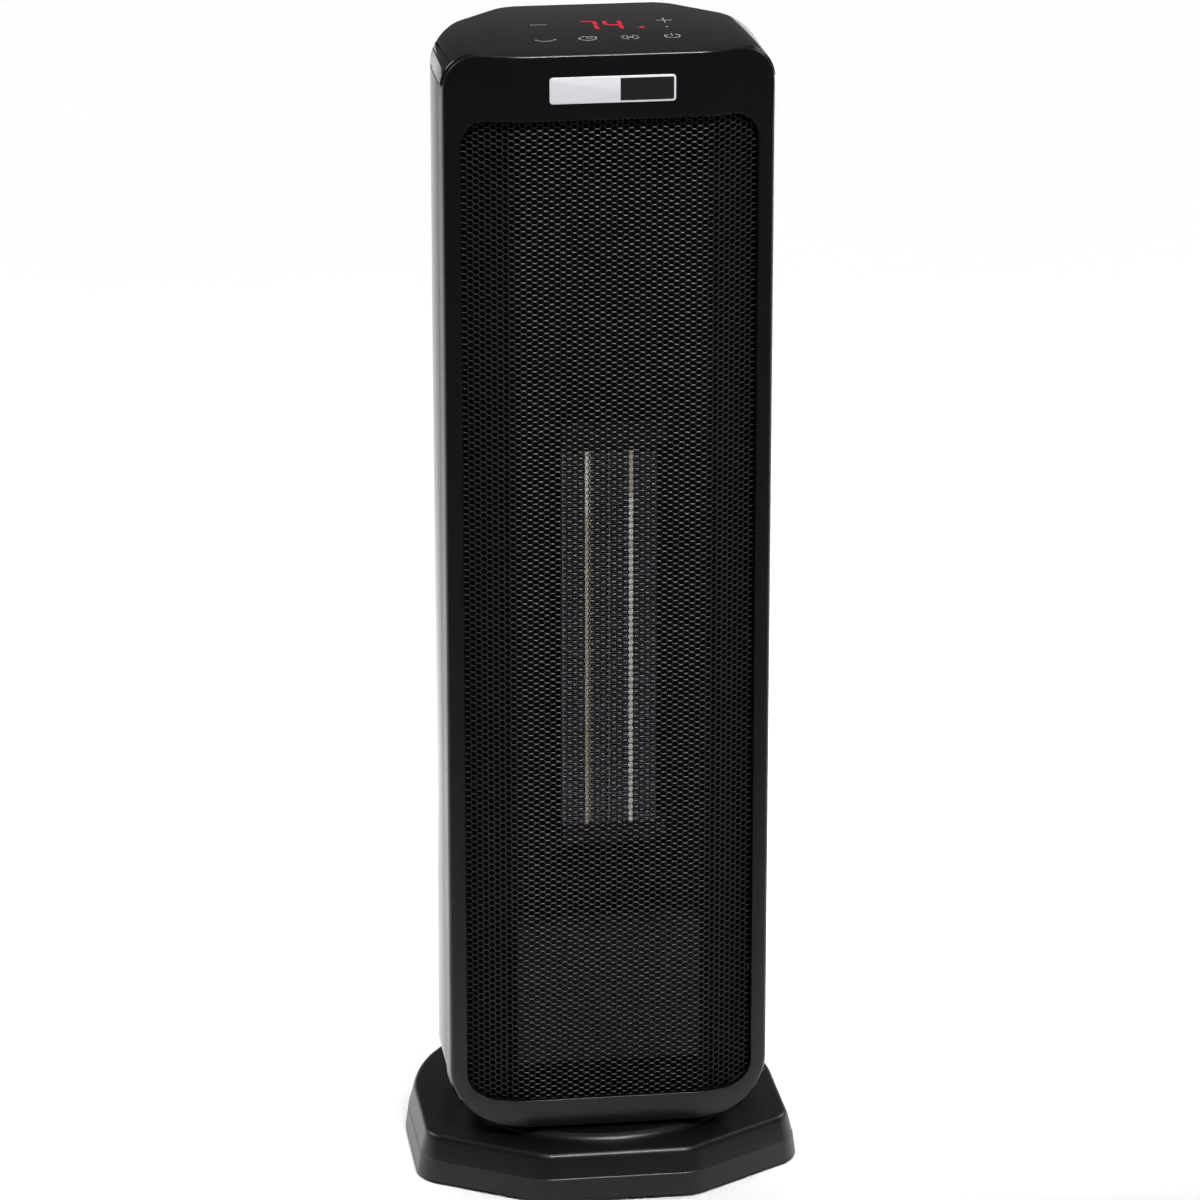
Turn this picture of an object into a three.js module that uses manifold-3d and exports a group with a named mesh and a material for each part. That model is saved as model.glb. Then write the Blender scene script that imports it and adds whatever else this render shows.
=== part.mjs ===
// Tower heater: an upright ceramic fan heater that swings on a low octagonal base.
// Millimetres, +Z up, front towards -Y. The origin is on the floor, on the swing axis.

import * as THREE from "three";
import { mergeGeometries, mergeVertices } from "three/addons/utils/BufferGeometryUtils.js";
import Module from "manifold-3d";

const wasm = await Module();
wasm.setup();

// Driving dimensions of the whole heater

const overallHeight = 584;
const fitGap = 0.3;
const cutOver = 2;
const roundSides = 36;
const smallSides = 12;
const screwSides = 10;
const cornerSteps = 5;
const planSteps = 3;

// Tower in plan, measured from the swing axis

const towerWidth = 163;
const frontFlatWidth = 94;
const frontReach = 61;
const facetDepth = 12.5;
const sideFlatDepth = 51;
const rearTaperDepth = 46.5;
const rearFlatWidth = 80;
const facetSoftness = 26;
const sideSoftness = 5;
const rearSoftness = 17;

// Tower in front view

const towerUnderside = 29.3;
const topCorner = 18;
const frameBottomCorner = 28;
const housingBottomCorner = 32;
const coverSeamDrop = 17;

// Front frame and grille

const frameWall = 3;
const frameReturn = 10;
const openingWidth = 145;
const openingBottomBorder = 15.5;
const openingTopBorder = 32;
const openingCorner = 13;
const grilleSheet = 1;
const grilleMargin = 2;
const grilleCellPitch = 28;
const grilleWeb = 3.6;
const badgeWidth = 61;
const badgeHeight = 13;
const badgeThickness = 0.8;
const badgeDrop = 17;
const badgeCorner = 2;

// Rear housing

const housingWall = 2.5;
const housingSeam = 0.5;
const ribThickness = 8;
const ribDepth = 4;
const ribEndDrop = 18;
const intakeWidth = 66;
const intakeBelowBlower = 8;
const intakeAboveBlower = 12;
const intakePanelThickness = 3;
const intakeLedge = 3;
const intakeSlots = 22;
const intakeSlotHeight = 5;
const intakeSlotMargin = 6;
const filterThickness = 1;
const handleWidth = 74;
const handleDrop = 88;
const handleHeight = 34;
const handleDepth = 22;
const handleWall = 2.5;
const handleCorner = 8;

// Top cover

const coverWall = 3;
const coverLipDepth = 5;
const coverLipThickness = 1.6;

// Base in plan and in height

const baseWidth = 195;
const baseFrontFlatWidth = 78;
const baseFrontReach = 89;
const baseChamferDepth = 37.5;
const baseSideDepth = 88.5;
const baseRearReach = 81;
const baseRearFlatWidth = 137;
const baseSoftness = 18;
const baseSideSweepShare = 0.51;
const baseRearSweepShare = 0.32;
const basePlanSteps = 6;
const baseTop = 25;
const baseFloorGap = 1.5;
const baseBandTop = 12.5;
const baseBandTaper = 1.5;
const baseShoulderInset = 4.6;
const baseTopInset = 6;
const baseEdgeDrop = 1.2;
const baseWall = 2.5;
const basePlateThickness = 2.5;
const plinthRadius = 72;
const plinthHeight = 3;
const plinthRounding = 4;
const plinthEdgeShares = [
  [0.2, 0.55],
  [0.5, 0.85],
  [1, 1],
];

// Swivel: hub, glide ring, retainer

const hubOuterRadius = 33;
const hubWall = 4;
const hubClearance = 0.6;
const hubFlangeRadius = 48;
const hubFlangeThickness = 3;
const wireHoleRadius = 6;
const retainerInnerRadius = 27;
const retainerOuterRadius = 42;
const retainerThickness = 2.9;
const retainerPlay = 0.6;
const glideInnerRadius = 37;
const glideOuterRadius = 45;

// Swing drive: fixed gear on the base, pinion under the swing motor

const gearModule = 1.25;
const fixedTeeth = 24;
const pinionTeeth = 12;
const addendumShare = 0.85;
const dedendumShare = 1.2;
const toothRootShare = 0.34;
const toothTipShare = 0.13;
const gearThickness = 6;
const gearBottom = 11;
const postRadius = 8;
const postBore = 4.5;
const postShoulder = 11;
const postRise = 3;
const postFlatShare = 0.8;
const pinionShaftRadius = 2.5;
const swingMotorRadius = 17.5;
const swingMotorHeight = 15.5;
const swingShaftOffset = 10;
const swingBossRadius = 4.5;

// Fasteners

const screwShank = 1.3;
const screwHead = 2.9;
const screwHeadHeight = 1.9;
const screwLength = 13;
const retainerScrewLength = 9;
const holderScrewLength = 9;
const screwTipGap = 1.5;
const frameScrewSeat = 9;
const frameScrewLowSide = 17;
const frameScrewLowRise = 10.5;
const frameScrewHighSide = 21;
const frameScrewHighDrop = 7;
const tunnelWall = 1.8;
const frameBossRadius = 3;
const baseScrewSideShare = 0.63;
const baseScrewFrontShare = 0.57;
const baseScrewRearShare = 0.58;
const recessWidth = 2.6;
const recessDepth = 1.1;
const bossRadius = 4;

// Heating element

const elementRiseShare = 0.288;
const elementHeightShare = 0.35;
const elementDepth = 11.4;
const elementRowOffset = 10.75;
const ceramicWidth = 2.5;
const centreBarWidth = 1;
const elementHalfWidth = 22.4;
const elementRail = 1;
const holderHeight = 11;
const holderReach = 29;
const finFolds = 30;
const finThickness = 1;
const stoneCount = 8;
const stoneGroove = 0.5;

// Inner chassis

const chassisThickness = 2.5;
const chassisRise = 20;
const chassisDrop = 29;

// Blower

const blowerMargin = 5;
const blowerPlate = 2;
const blowerWall = 1.6;
const blowerHalfWidth = 32;
const ductHalfWidth = 25.5;
const wheelRadius = 22;
const wheelSetback = 2;
const wheelEndGap = 2;
const bladeCount = 16;
const bladeThickness = 1.3;
const bladeInnerRadius = 15.5;
const wheelShaftRadius = 2.2;
const blowerMotorRadius = 21;
const blowerMotorHeight = 38;
const bearingRadius = 5;
const bearingHeight = 5;
const scrollGrowth = 4.5;
const scrollSteps = 10;
const scrollTurnShare = 0.21;
const bladeLeanShare = 0.036;

// Electronics

const powerBoxWidth = 92;
const powerBoxRise = 32;
const powerBoxHeight = 74;
const powerBoxDepth = 13;
const powerBoxWall = 1.8;
const boardThickness = 1.6;
const boardStandoff = 1;
const powerPartShares = [
  [-0.6, 0.3, 0.22, 0.18, 1],
  [-0.1, 0.25, 0.12, 0.12, 0.9],
  [0.45, 0.72, 0.35, 0.08, 1],
  [-0.4, 0.75, 0.1, 0.06, 0.3],
  [0.9, 0.78, 0.08, 0.1, 0.7],
];
const tiltSwitchSize = 6.5;
const tiltSwitchShares = [0.35, 0.28];
const touchBoardWidth = 104;
const touchBoardFront = 44;
const touchBoardRear = 20;
const displayWidth = 30;
const displayDepth = 24;
const displayHeight = 7;
const displaySetback = 4;
const ribbonWidth = 8;
const ribbonThickness = 0.8;
const ribbonSide = 34;
const ribbonPassShare = 0.53;
const socketDepth = 8;
const socketDrop = 4.8;
const cutoutRadius = 7;
const cutoutDepth = 6;
const cutoutSide = 42;

// Feet and cord inlet

const footRadius = 9;
const footHeight = 2.7;
const footEdge = 0.8;
const footFrontShares = [0.81, 0.48];
const footRearShares = [0.76, 0.77];
const glandRadius = 6.5;
const glandBore = 3.5;
const glandHeight = 10;
const glandReach = 89;
const glandFlange = 1.5;
const glandInside = 5;

// Heights and planes that follow from the dimensions above

const seamHeight = overallHeight - coverSeamDrop;
const plinthTop = baseTop + plinthHeight;
const halfTower = towerWidth / 2;
const sideFrontY = -frontReach + facetDepth;
const partingY = sideFrontY + frameReturn;
const sideRearY = sideFrontY + sideFlatDepth;
const rearY = sideRearY + rearTaperDepth;
const chassisFrontY = partingY + fitGap;
const chassisRearY = chassisFrontY + chassisThickness;
const elementRearY = chassisFrontY - fitGap;
const elementFrontY = elementRearY - elementDepth;
const towerHeight = overallHeight - towerUnderside;
const elementBottom = towerUnderside + towerHeight * elementRiseShare;
const elementHeight = towerHeight * elementHeightShare;
const elementTop = elementBottom + elementHeight;
const blowerBottom = elementBottom - blowerMargin;
const blowerTop = elementTop + blowerMargin;
const intakeBottom = blowerBottom - intakeBelowBlower;
const intakeHeight = blowerTop + intakeAboveBlower - intakeBottom;
const handleBottom = overallHeight - handleDrop - handleHeight;
const chassisBottom = towerUnderside + chassisRise;
const chassisTop = overallHeight - chassisDrop;
const powerBoxBottom = towerUnderside + powerBoxRise;
const powerBoxTop = powerBoxBottom + powerBoxHeight;
const ribbonPass = powerBoxBottom + powerBoxHeight * ribbonPassShare;
const housingFloor = towerUnderside + housingWall;
const hubBottom = baseTop - baseWall - retainerPlay;
const hubHoleRadius = hubOuterRadius + hubClearance;
const gearCentres = (gearModule * (fixedTeeth + pinionTeeth)) / 2;
const hubFlangeTop = housingFloor + hubFlangeThickness;
const basePlateTop = baseFloorGap + basePlateThickness;
const openingBottom = towerUnderside + openingBottomBorder;
const openingTop = overallHeight - openingTopBorder;
const retainerBottom = hubBottom - retainerThickness;
const tunnelRadius = screwHead + fitGap + tunnelWall;
const frameScrewSeatY = partingY + frameScrewSeat;

// Finishes

function finish(color, roughness, metalness) {
  return new THREE.MeshStandardMaterial({ color, roughness, metalness });
}

const satinBlack = finish(0x1b1c1f, 0.5, 0);
const glossBlack = finish(0x141414, 0.12, 0);
const grilleBlack = finish(0x151515, 0.45, 0.6);
const mouldedBlack = finish(0x101010, 0.7, 0);
const rubberBlack = finish(0x0d0d0d, 0.9, 0);
const filterGrey = finish(0x2a2a2c, 0.9, 0);
const aluminium = finish(0xb9bcc0, 0.35, 1);
const ceramicCream = finish(0xe8dfc6, 0.6, 0);
const resinBrown = finish(0x3a2a1c, 0.6, 0);
const boardGreen = finish(0x1d5a35, 0.6, 0);
const steelGrey = finish(0x8e9194, 0.35, 1);
const motorSteel = finish(0xa2a5a8, 0.4, 0.9);
const gearWhite = finish(0xe9e7df, 0.5, 0);
const badgeSilver = finish(0xe4e5e6, 0.35, 0);
const displayRed = finish(0x4a0a10, 0.3, 0);

// Solids and booleans

function solid(geometry) {
  const plain = new THREE.BufferGeometry();
  plain.setAttribute("position", geometry.getAttribute("position").clone());
  if (geometry.getIndex()) {
    plain.setIndex(geometry.getIndex().clone());
  }
  const merged = mergeVertices(plain, 1e-4);
  const mesh = new wasm.Mesh({
    numProp: 3,
    vertProperties: new Float32Array(merged.getAttribute("position").array),
    triVerts: new Uint32Array(merged.getIndex().array),
  });
  return new wasm.Manifold(mesh);
}

function shapeOf(manifold) {
  const mesh = manifold.getMesh();
  const geometry = new THREE.BufferGeometry();
  geometry.setAttribute("position", new THREE.BufferAttribute(new Float32Array(mesh.vertProperties), 3));
  geometry.setIndex(new THREE.BufferAttribute(new Uint32Array(mesh.triVerts), 1));
  return geometry;
}

function join(first, ...others) {
  return others.reduce((sum, next) => sum.add(next), first);
}

function cut(first, ...others) {
  return others.reduce((sum, next) => sum.subtract(next), first);
}

function common(first, ...others) {
  return others.reduce((sum, next) => sum.intersect(next), first);
}

const heater = new THREE.Group();

function place(parent, name, shape, material) {
  const geometry = shape.isBufferGeometry ? shape : shapeOf(shape);
  const mesh = new THREE.Mesh(geometry, material);
  mesh.name = name;
  parent.add(mesh);
  return mesh;
}

// Basic forms

function block(x0, x1, y0, y1, z0, z1) {
  const geometry = new THREE.BoxGeometry(x1 - x0, y1 - y0, z1 - z0);
  geometry.translate((x0 + x1) / 2, (y0 + y1) / 2, (z0 + z1) / 2);
  return solid(geometry);
}

function upright(radius, z0, z1, x = 0, y = 0, sides = roundSides) {
  const geometry = new THREE.CylinderGeometry(radius, radius, z1 - z0, sides);
  geometry.rotateX(Math.PI / 2);
  geometry.translate(x, y, (z0 + z1) / 2);
  return solid(geometry);
}

function rearward(radius, y0, y1, x, z, sides = smallSides) {
  const geometry = new THREE.CylinderGeometry(radius, radius, y1 - y0, sides);
  geometry.translate(x, (y0 + y1) / 2, z);
  return solid(geometry);
}

// A closed outline of [radius, height] points, turned about the Z axis.
function turned(profile, x = 0, y = 0, sides = roundSides) {
  const points = profile.map(([radius, height]) => new THREE.Vector2(radius, height));
  points.push(points[0].clone());
  const geometry = new THREE.LatheGeometry(points, sides);
  geometry.rotateX(Math.PI / 2);
  geometry.translate(x, y, 0);
  return solid(geometry);
}

function prismUp(points, z0, z1) {
  const shape = new THREE.Shape(points);
  const geometry = new THREE.ExtrudeGeometry(shape, { depth: z1 - z0, bevelEnabled: false });
  geometry.translate(0, 0, z0);
  return solid(geometry);
}

// An outline of (x, z) points, carried from y0 back to y1.
function prismBack(points, y0, y1) {
  const shape = new THREE.Shape(points);
  const geometry = new THREE.ExtrudeGeometry(shape, { depth: y1 - y0, bevelEnabled: false });
  geometry.rotateX(Math.PI / 2);
  geometry.translate(0, y1, 0);
  return solid(geometry);
}

// Skins a stack of outlines that have equally many points, from the lowest up.
function stacked(levels) {
  const count = levels[0].points.length;
  const positions = [];
  levels.forEach(({ points, z }) => points.forEach((p) => positions.push(p.x, p.y, z)));
  const index = [];
  for (let level = 0; level < levels.length - 1; level += 1) {
    for (let i = 0; i < count; i += 1) {
      const a = level * count + i;
      const b = level * count + ((i + 1) % count);
      index.push(a, b, b + count, a, b + count, a + count);
    }
  }
  const top = (levels.length - 1) * count;
  for (let i = 1; i < count - 1; i += 1) {
    index.push(0, i + 1, i, top, top + i, top + i + 1);
  }
  const geometry = new THREE.BufferGeometry();
  geometry.setAttribute("position", new THREE.Float32BufferAttribute(positions, 3));
  geometry.setIndex(index);
  return solid(geometry);
}

// Moves every side of a convex, anticlockwise outline inwards by the same distance.
function inset(points, distance) {
  const count = points.length;
  const lines = points.map((p, i) => {
    const q = points[(i + 1) % count];
    const along = q.clone().sub(p).normalize();
    const inward = new THREE.Vector2(-along.y, along.x);
    return { at: p.clone().addScaledVector(inward, distance), along };
  });
  return lines.map((line, i) => {
    const before = lines[(i + count - 1) % count];
    const gap = line.at.clone().sub(before.at);
    const reach = gap.cross(line.along) / before.along.cross(line.along);
    return before.at.clone().addScaledVector(before.along, reach);
  });
}

// Rounds each corner of a convex, anticlockwise outline with its own radius.
function softened(points, radii, steps = cornerSteps) {
  const count = points.length;
  const result = [];
  points.forEach((corner, i) => {
    const back = points[(i + count - 1) % count].clone().sub(corner).normalize();
    const ahead = points[(i + 1) % count].clone().sub(corner).normalize();
    const half = back.angleTo(ahead) / 2;
    const radius = radii[i % radii.length];
    const middle = back.clone().add(ahead).normalize();
    const centre = corner.clone().addScaledVector(middle, radius / Math.sin(half));
    const start = corner.clone().addScaledVector(back, radius / Math.tan(half)).sub(centre);
    const sweep = Math.PI - 2 * half;
    for (let step = 0; step <= steps; step += 1) {
      const turn = start.clone().rotateAround(new THREE.Vector2(), (sweep * step) / steps);
      result.push(centre.clone().add(turn));
    }
  });
  return result;
}

function rectangle(x0, x1, z0, z1) {
  return [
    new THREE.Vector2(x0, z0),
    new THREE.Vector2(x1, z0),
    new THREE.Vector2(x1, z1),
    new THREE.Vector2(x0, z1),
  ];
}

function circlePoint(radius, angle) {
  return new THREE.Vector2(radius * Math.cos(angle), radius * Math.sin(angle));
}

// Outlines of the tower

const planCorners = [
  [-frontFlatWidth / 2, -frontReach],
  [frontFlatWidth / 2, -frontReach],
  [halfTower, sideFrontY],
  [halfTower, sideRearY],
  [rearFlatWidth / 2, rearY],
  [-rearFlatWidth / 2, rearY],
  [-halfTower, sideRearY],
  [-halfTower, sideFrontY],
].map(([x, y]) => new THREE.Vector2(x, y));

function towerPlan(depth) {
  const less = Math.max(sideSoftness - depth, fitGap);
  const facet = facetSoftness - depth;
  const rear = rearSoftness - depth;
  const radii = [facet, facet, less, rear, rear, rear, rear, less];
  return softened(inset(planCorners, depth), radii, planSteps);
}

function towerFace(depth, bottomCorner) {
  const corners = rectangle(
    -halfTower + depth,
    halfTower - depth,
    towerUnderside + depth,
    overallHeight - depth,
  );
  const bottom = bottomCorner - depth;
  const top = topCorner - depth;
  return softened(corners, [bottom, bottom, top, top]);
}

// The tower's full body, moved in by a depth on every side.
function towerBody(depth, bottomCorner) {
  const wide = cutOver + frontReach;
  return common(
    prismUp(towerPlan(depth), towerUnderside, overallHeight),
    prismBack(towerFace(depth, bottomCorner), -wide, wide),
  );
}

const everywhere = overallHeight;

function aheadOf(y) {
  return block(-everywhere, everywhere, -everywhere, y, -everywhere, 2 * everywhere);
}

function behind(y) {
  return block(-everywhere, everywhere, y, everywhere, -everywhere, 2 * everywhere);
}

function above(z) {
  return block(-everywhere, everywhere, -everywhere, everywhere, z, 2 * everywhere);
}

// All that lies behind the front face by a given thickness, and on past both sides.
function behindFace(thickness) {
  const flat = frontFlatWidth / 2;
  const side = halfTower + cutOver;
  const front = -frontReach + thickness;
  const turn = front + (facetDepth * (side - flat)) / (halfTower - flat);
  const corners = [
    [-flat, front],
    [flat, front],
    [side, turn],
    [side, everywhere],
    [-side, everywhere],
    [-side, turn],
  ].map(([x, y]) => new THREE.Vector2(x, y));
  const radii = [facetSoftness, facetSoftness, fitGap, fitGap, fitGap, fitGap];
  return prismUp(softened(corners, radii, planSteps), -cutOver, overallHeight + cutOver);
}

// Fasteners

// A pan-head screw along +Z, with its head's top at zero and its point up.
function screwBody(length) {
  const tip = screwShank / 2;
  const body = turned(
    [
      [0, 0],
      [screwHead, 0],
      [screwHead, screwHeadHeight],
      [screwShank, screwHeadHeight],
      [screwShank, length - tip],
      [tip, length],
      [0, length],
    ],
    0,
    0,
    screwSides,
  );
  const half = recessWidth / 2;
  const arm = recessWidth / 6;
  const slotA = block(-half, half, -arm, arm, -cutOver, recessDepth);
  const slotB = block(-arm, arm, -half, half, -cutOver, recessDepth);
  return cut(body, slotA, slotB);
}

function screwUp(parent, name, x, y, z, length) {
  const mesh = place(parent, name, screwBody(length), steelGrey);
  mesh.position.set(x, y, z);
  return mesh;
}

function screwForward(parent, name, x, y, z, length) {
  const mesh = place(parent, name, screwBody(length), steelGrey);
  mesh.rotation.x = Math.PI / 2;
  mesh.position.set(x, y, z);
  return mesh;
}

function screwRearward(parent, name, x, y, z, length) {
  const mesh = place(parent, name, screwBody(length), steelGrey);
  mesh.rotation.x = -Math.PI / 2;
  mesh.position.set(x, y, z);
  return mesh;
}

// Gears

function gearOutline(teeth, phase, backlash) {
  const pitchRadius = (gearModule * teeth) / 2;
  const root = pitchRadius - gearModule * dedendumShare;
  const tip = pitchRadius + gearModule * addendumShare;
  const pitchAngle = (2 * Math.PI) / teeth;
  const rootHalf = pitchAngle * toothRootShare - backlash / pitchRadius;
  const tipHalf = pitchAngle * toothTipShare;
  const points = [];
  for (let tooth = 0; tooth < teeth; tooth += 1) {
    const middle = tooth * pitchAngle + phase;
    points.push(circlePoint(root, middle - rootHalf));
    points.push(circlePoint(tip, middle - tipHalf));
    points.push(circlePoint(tip, middle + tipHalf));
    points.push(circlePoint(root, middle + rootHalf));
  }
  return points;
}

// Base

const baseCorners = [
  [-baseFrontFlatWidth / 2, -baseFrontReach],
  [baseFrontFlatWidth / 2, -baseFrontReach],
  [baseWidth / 2, -baseFrontReach + baseChamferDepth],
  [baseWidth / 2, -baseFrontReach + baseChamferDepth + baseSideDepth],
  [baseRearFlatWidth / 2, baseRearReach],
  [-baseRearFlatWidth / 2, baseRearReach],
  [-baseWidth / 2, -baseFrontReach + baseChamferDepth + baseSideDepth],
  [-baseWidth / 2, -baseFrontReach + baseChamferDepth],
].map(([x, y]) => new THREE.Vector2(x, y));

// The slant between side and rear. The sweeps of its two ends share its length between them.
const baseSlant = baseCorners[3].clone().sub(baseCorners[4]);
const slantTurn = Math.atan2(baseSlant.x, -baseSlant.y);
const baseSideSweep = (baseSlant.length() * baseSideSweepShare) / Math.tan(slantTurn / 2);
const baseRearSweep = (baseSlant.length() * baseRearSweepShare) / Math.tan((Math.PI / 2 - slantTurn) / 2);
const baseFrontRadii = [baseSoftness, baseSoftness, baseSoftness];
const baseRearRadii = [baseSideSweep, baseRearSweep, baseRearSweep, baseSideSweep];
const baseRadii = [...baseFrontRadii, ...baseRearRadii, baseSoftness];

function basePlan(depth) {
  const radii = baseRadii.map((radius) => radius - depth);
  return softened(inset(baseCorners, depth), radii, basePlanSteps);
}

// The lower band leans in slightly from the floor up.
function bandInset(z) {
  return (baseBandTaper * (z - baseFloorGap)) / (baseBandTop - baseFloorGap);
}

function baseForm(depth, bottom) {
  return stacked([
    { points: basePlan(depth + bandInset(bottom)), z: bottom },
    { points: basePlan(depth + baseBandTaper), z: baseBandTop },
    { points: basePlan(depth + baseShoulderInset), z: baseTop - baseEdgeDrop - depth },
    { points: basePlan(depth + baseTopInset), z: baseTop - depth },
  ]);
}

const baseScrewX = (baseWidth / 2) * baseScrewSideShare;
const baseScrewFrontY = -baseFrontReach * baseScrewFrontShare;
const baseScrewRearY = baseRearReach * baseScrewRearShare;
const baseScrewPlaces = [
  [-baseScrewX, baseScrewFrontY],
  [baseScrewX, baseScrewFrontY],
  [baseScrewX, baseScrewRearY],
  [-baseScrewX, baseScrewRearY],
];

const footFrontX = (baseWidth / 2) * footFrontShares[0];
const footFrontY = -baseFrontReach * footFrontShares[1];
const footRearX = (baseRearFlatWidth / 2) * footRearShares[0];
const footRearY = baseRearReach * footRearShares[1];
const footPlaces = {
  foot_front_left: [-footFrontX, footFrontY],
  foot_front_right: [footFrontX, footFrontY],
  foot_rear_right: [footRearX, footRearY],
  foot_rear_left: [-footRearX, footRearY],
};

const base = new THREE.Group();
heater.add(base);

function buildBaseCover() {
  const shell = cut(baseForm(0, baseFloorGap), baseForm(baseWall, baseFloorGap - cutOver));
  const plinth = turned([
    [hubHoleRadius, baseTop - baseWall / 2],
    [plinthRadius, baseTop - baseWall / 2],
    [plinthRadius, baseTop],
    ...plinthEdgeShares.map(([inShare, upShare]) => [
      plinthRadius - plinthRounding * inShare,
      baseTop + plinthHeight * upShare,
    ]),
    [hubHoleRadius, plinthTop],
  ]);
  const bosses = baseScrewPlaces.map(([x, y]) =>
    upright(bossRadius, basePlateTop, baseTop - baseWall / 2, x, y, smallSides),
  );
  const holeTop = baseFloorGap + screwLength + cutOver;
  const holes = baseScrewPlaces.map(([x, y]) =>
    upright(screwShank + fitGap, basePlateTop - cutOver, holeTop, x, y, screwSides),
  );
  const hubHole = upright(hubHoleRadius, baseBandTop, plinthTop + cutOver);
  const inletStart = baseRearReach - glandInside - cutOver;
  const inlet = rearward(glandRadius - glandFlange + fitGap, inletStart, glandReach, 0, glandHeight);
  return cut(join(shell, plinth, ...bosses), hubHole, inlet, ...holes);
}

const postTop = gearBottom + gearThickness + postRise;

// The centre post with one flat side, which keeps the fixed gear from turning.
function keyedPost(clearance, z0, z1) {
  const round = upright(postRadius + clearance, z0, z1, 0, 0, smallSides * 2);
  const flat = -(postRadius * postFlatShare + clearance);
  return common(round, block(flat, everywhere, -everywhere, everywhere, -everywhere, everywhere));
}

function buildBasePlate() {
  const edge = baseWall + fitGap;
  const sheet = stacked([
    { points: basePlan(edge + bandInset(baseFloorGap)), z: baseFloorGap },
    { points: basePlan(edge + bandInset(basePlateTop)), z: basePlateTop },
  ]);
  const shoulder = upright(postShoulder, baseFloorGap, gearBottom, 0, 0, smallSides * 2);
  const post = keyedPost(0, gearBottom - cutOver, postTop);
  const bore = upright(postBore, basePlateTop, postTop + cutOver, 0, 0, smallSides);
  const doorwayTop = basePlateTop + 2 * postBore;
  const doorway = block(-postBore, postBore, 0, postShoulder + cutOver, basePlateTop, doorwayTop);
  const pockets = Object.values(footPlaces).map(([x, y]) =>
    upright(footRadius + fitGap, baseFloorGap - cutOver, footHeight, x, y, smallSides * 2),
  );
  const heads = baseScrewPlaces.map(([x, y]) =>
    upright(screwHead + fitGap, baseFloorGap - cutOver, baseFloorGap + screwHeadHeight, x, y, smallSides),
  );
  const shanks = baseScrewPlaces.map(([x, y]) =>
    upright(screwShank + fitGap, baseFloorGap, basePlateTop + cutOver, x, y, screwSides),
  );
  return cut(join(sheet, shoulder, post), bore, doorway, ...pockets, ...heads, ...shanks);
}

function buildFoot(x, y) {
  return turned(
    [
      [0, 0],
      [footRadius - footEdge, 0],
      [footRadius, footEdge],
      [footRadius, footHeight],
      [0, footHeight],
    ],
    x,
    y,
    smallSides * 2,
  );
}

function buildFixedGear() {
  const outline = gearOutline(fixedTeeth, Math.PI / fixedTeeth, fitGap);
  const toothed = prismUp(outline, gearBottom, gearBottom + gearThickness);
  const bore = keyedPost(fitGap, gearBottom - cutOver, gearBottom + gearThickness + cutOver);
  return cut(toothed, bore);
}

function buildGlideRing() {
  const top = towerUnderside - fitGap;
  return turned([
    [glideInnerRadius, plinthTop],
    [glideOuterRadius, plinthTop],
    [glideOuterRadius, top],
    [glideInnerRadius, top],
  ]);
}

function buildGland() {
  const wallY = baseRearReach;
  const body = turned(
    [
      [glandBore, -glandInside],
      [glandRadius - glandFlange, -glandInside],
      [glandRadius - glandFlange, fitGap],
      [glandRadius, fitGap],
      [glandRadius, glandFlange],
      [glandRadius - glandFlange, glandReach - wallY],
      [glandBore, glandReach - wallY],
    ],
    0,
    0,
    smallSides,
  );
  return shapeOf(body);
}

place(base, "base_cover", buildBaseCover(), satinBlack);
place(base, "base_plate", buildBasePlate(), mouldedBlack);
Object.entries(footPlaces).forEach(([name, [x, y]]) => place(base, name, buildFoot(x, y), rubberBlack));
baseScrewPlaces.forEach(([x, y], i) =>
  screwUp(base, `base_screw_${i + 1}`, x, y, baseFloorGap, screwLength),
);
place(base, "fixed_swing_gear", buildFixedGear(), gearWhite);
place(base, "glide_ring", buildGlideRing(), gearWhite);
const gland = place(base, "cord_gland", buildGland(), rubberBlack);
gland.rotation.x = -Math.PI / 2;
gland.position.set(0, baseRearReach, glandHeight);

// Tower shell

const tower = new THREE.Group();
heater.add(tower);

const lowScrewX = halfTower - frameScrewLowSide;
const lowScrewZ = towerUnderside + frameScrewLowRise;
const highScrewX = halfTower - frameScrewHighSide;
const highScrewZ = seamHeight - frameScrewHighDrop;
const frameScrewPlaces = [
  [-lowScrewX, lowScrewZ],
  [lowScrewX, lowScrewZ],
  [highScrewX, highScrewZ],
  [-highScrewX, highScrewZ],
];

const opening = rectangle(-openingWidth / 2, openingWidth / 2, openingBottom, openingTop);

function openingOutline(grow) {
  return softened(inset(opening, -grow), [openingCorner + grow]);
}

function buildFrontFrame() {
  const cavity = towerBody(frameWall, frameBottomCorner);
  const shell = cut(common(towerBody(0, frameBottomCorner), aheadOf(partingY)), cavity);
  const plate = cut(common(towerBody(0, frameBottomCorner), aheadOf(partingY)), behindFace(frameWall));
  const underCover = common(behindFace(frameWall), above(seamHeight));
  const bosses = frameScrewPlaces.map(([x, z]) =>
    common(rearward(frameBossRadius, -frontReach, partingY, x, z, screwSides), behindFace(frameWall / 2)),
  );
  const holeEnd = frameScrewSeatY - screwLength - fitGap;
  const holes = frameScrewPlaces.map(([x, z]) =>
    rearward(screwShank + fitGap, holeEnd, partingY + cutOver, x, z, screwSides),
  );
  const window = prismBack(openingOutline(0), -everywhere, everywhere);
  return cut(join(shell, plate, ...bosses), underCover, window, ...holes);
}

function hexagon(radius, x, z) {
  return [0, 1, 2, 3, 4, 5].map((k) => circlePoint(radius, (k * Math.PI) / 3).add(new THREE.Vector2(x, z)));
}

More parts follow.
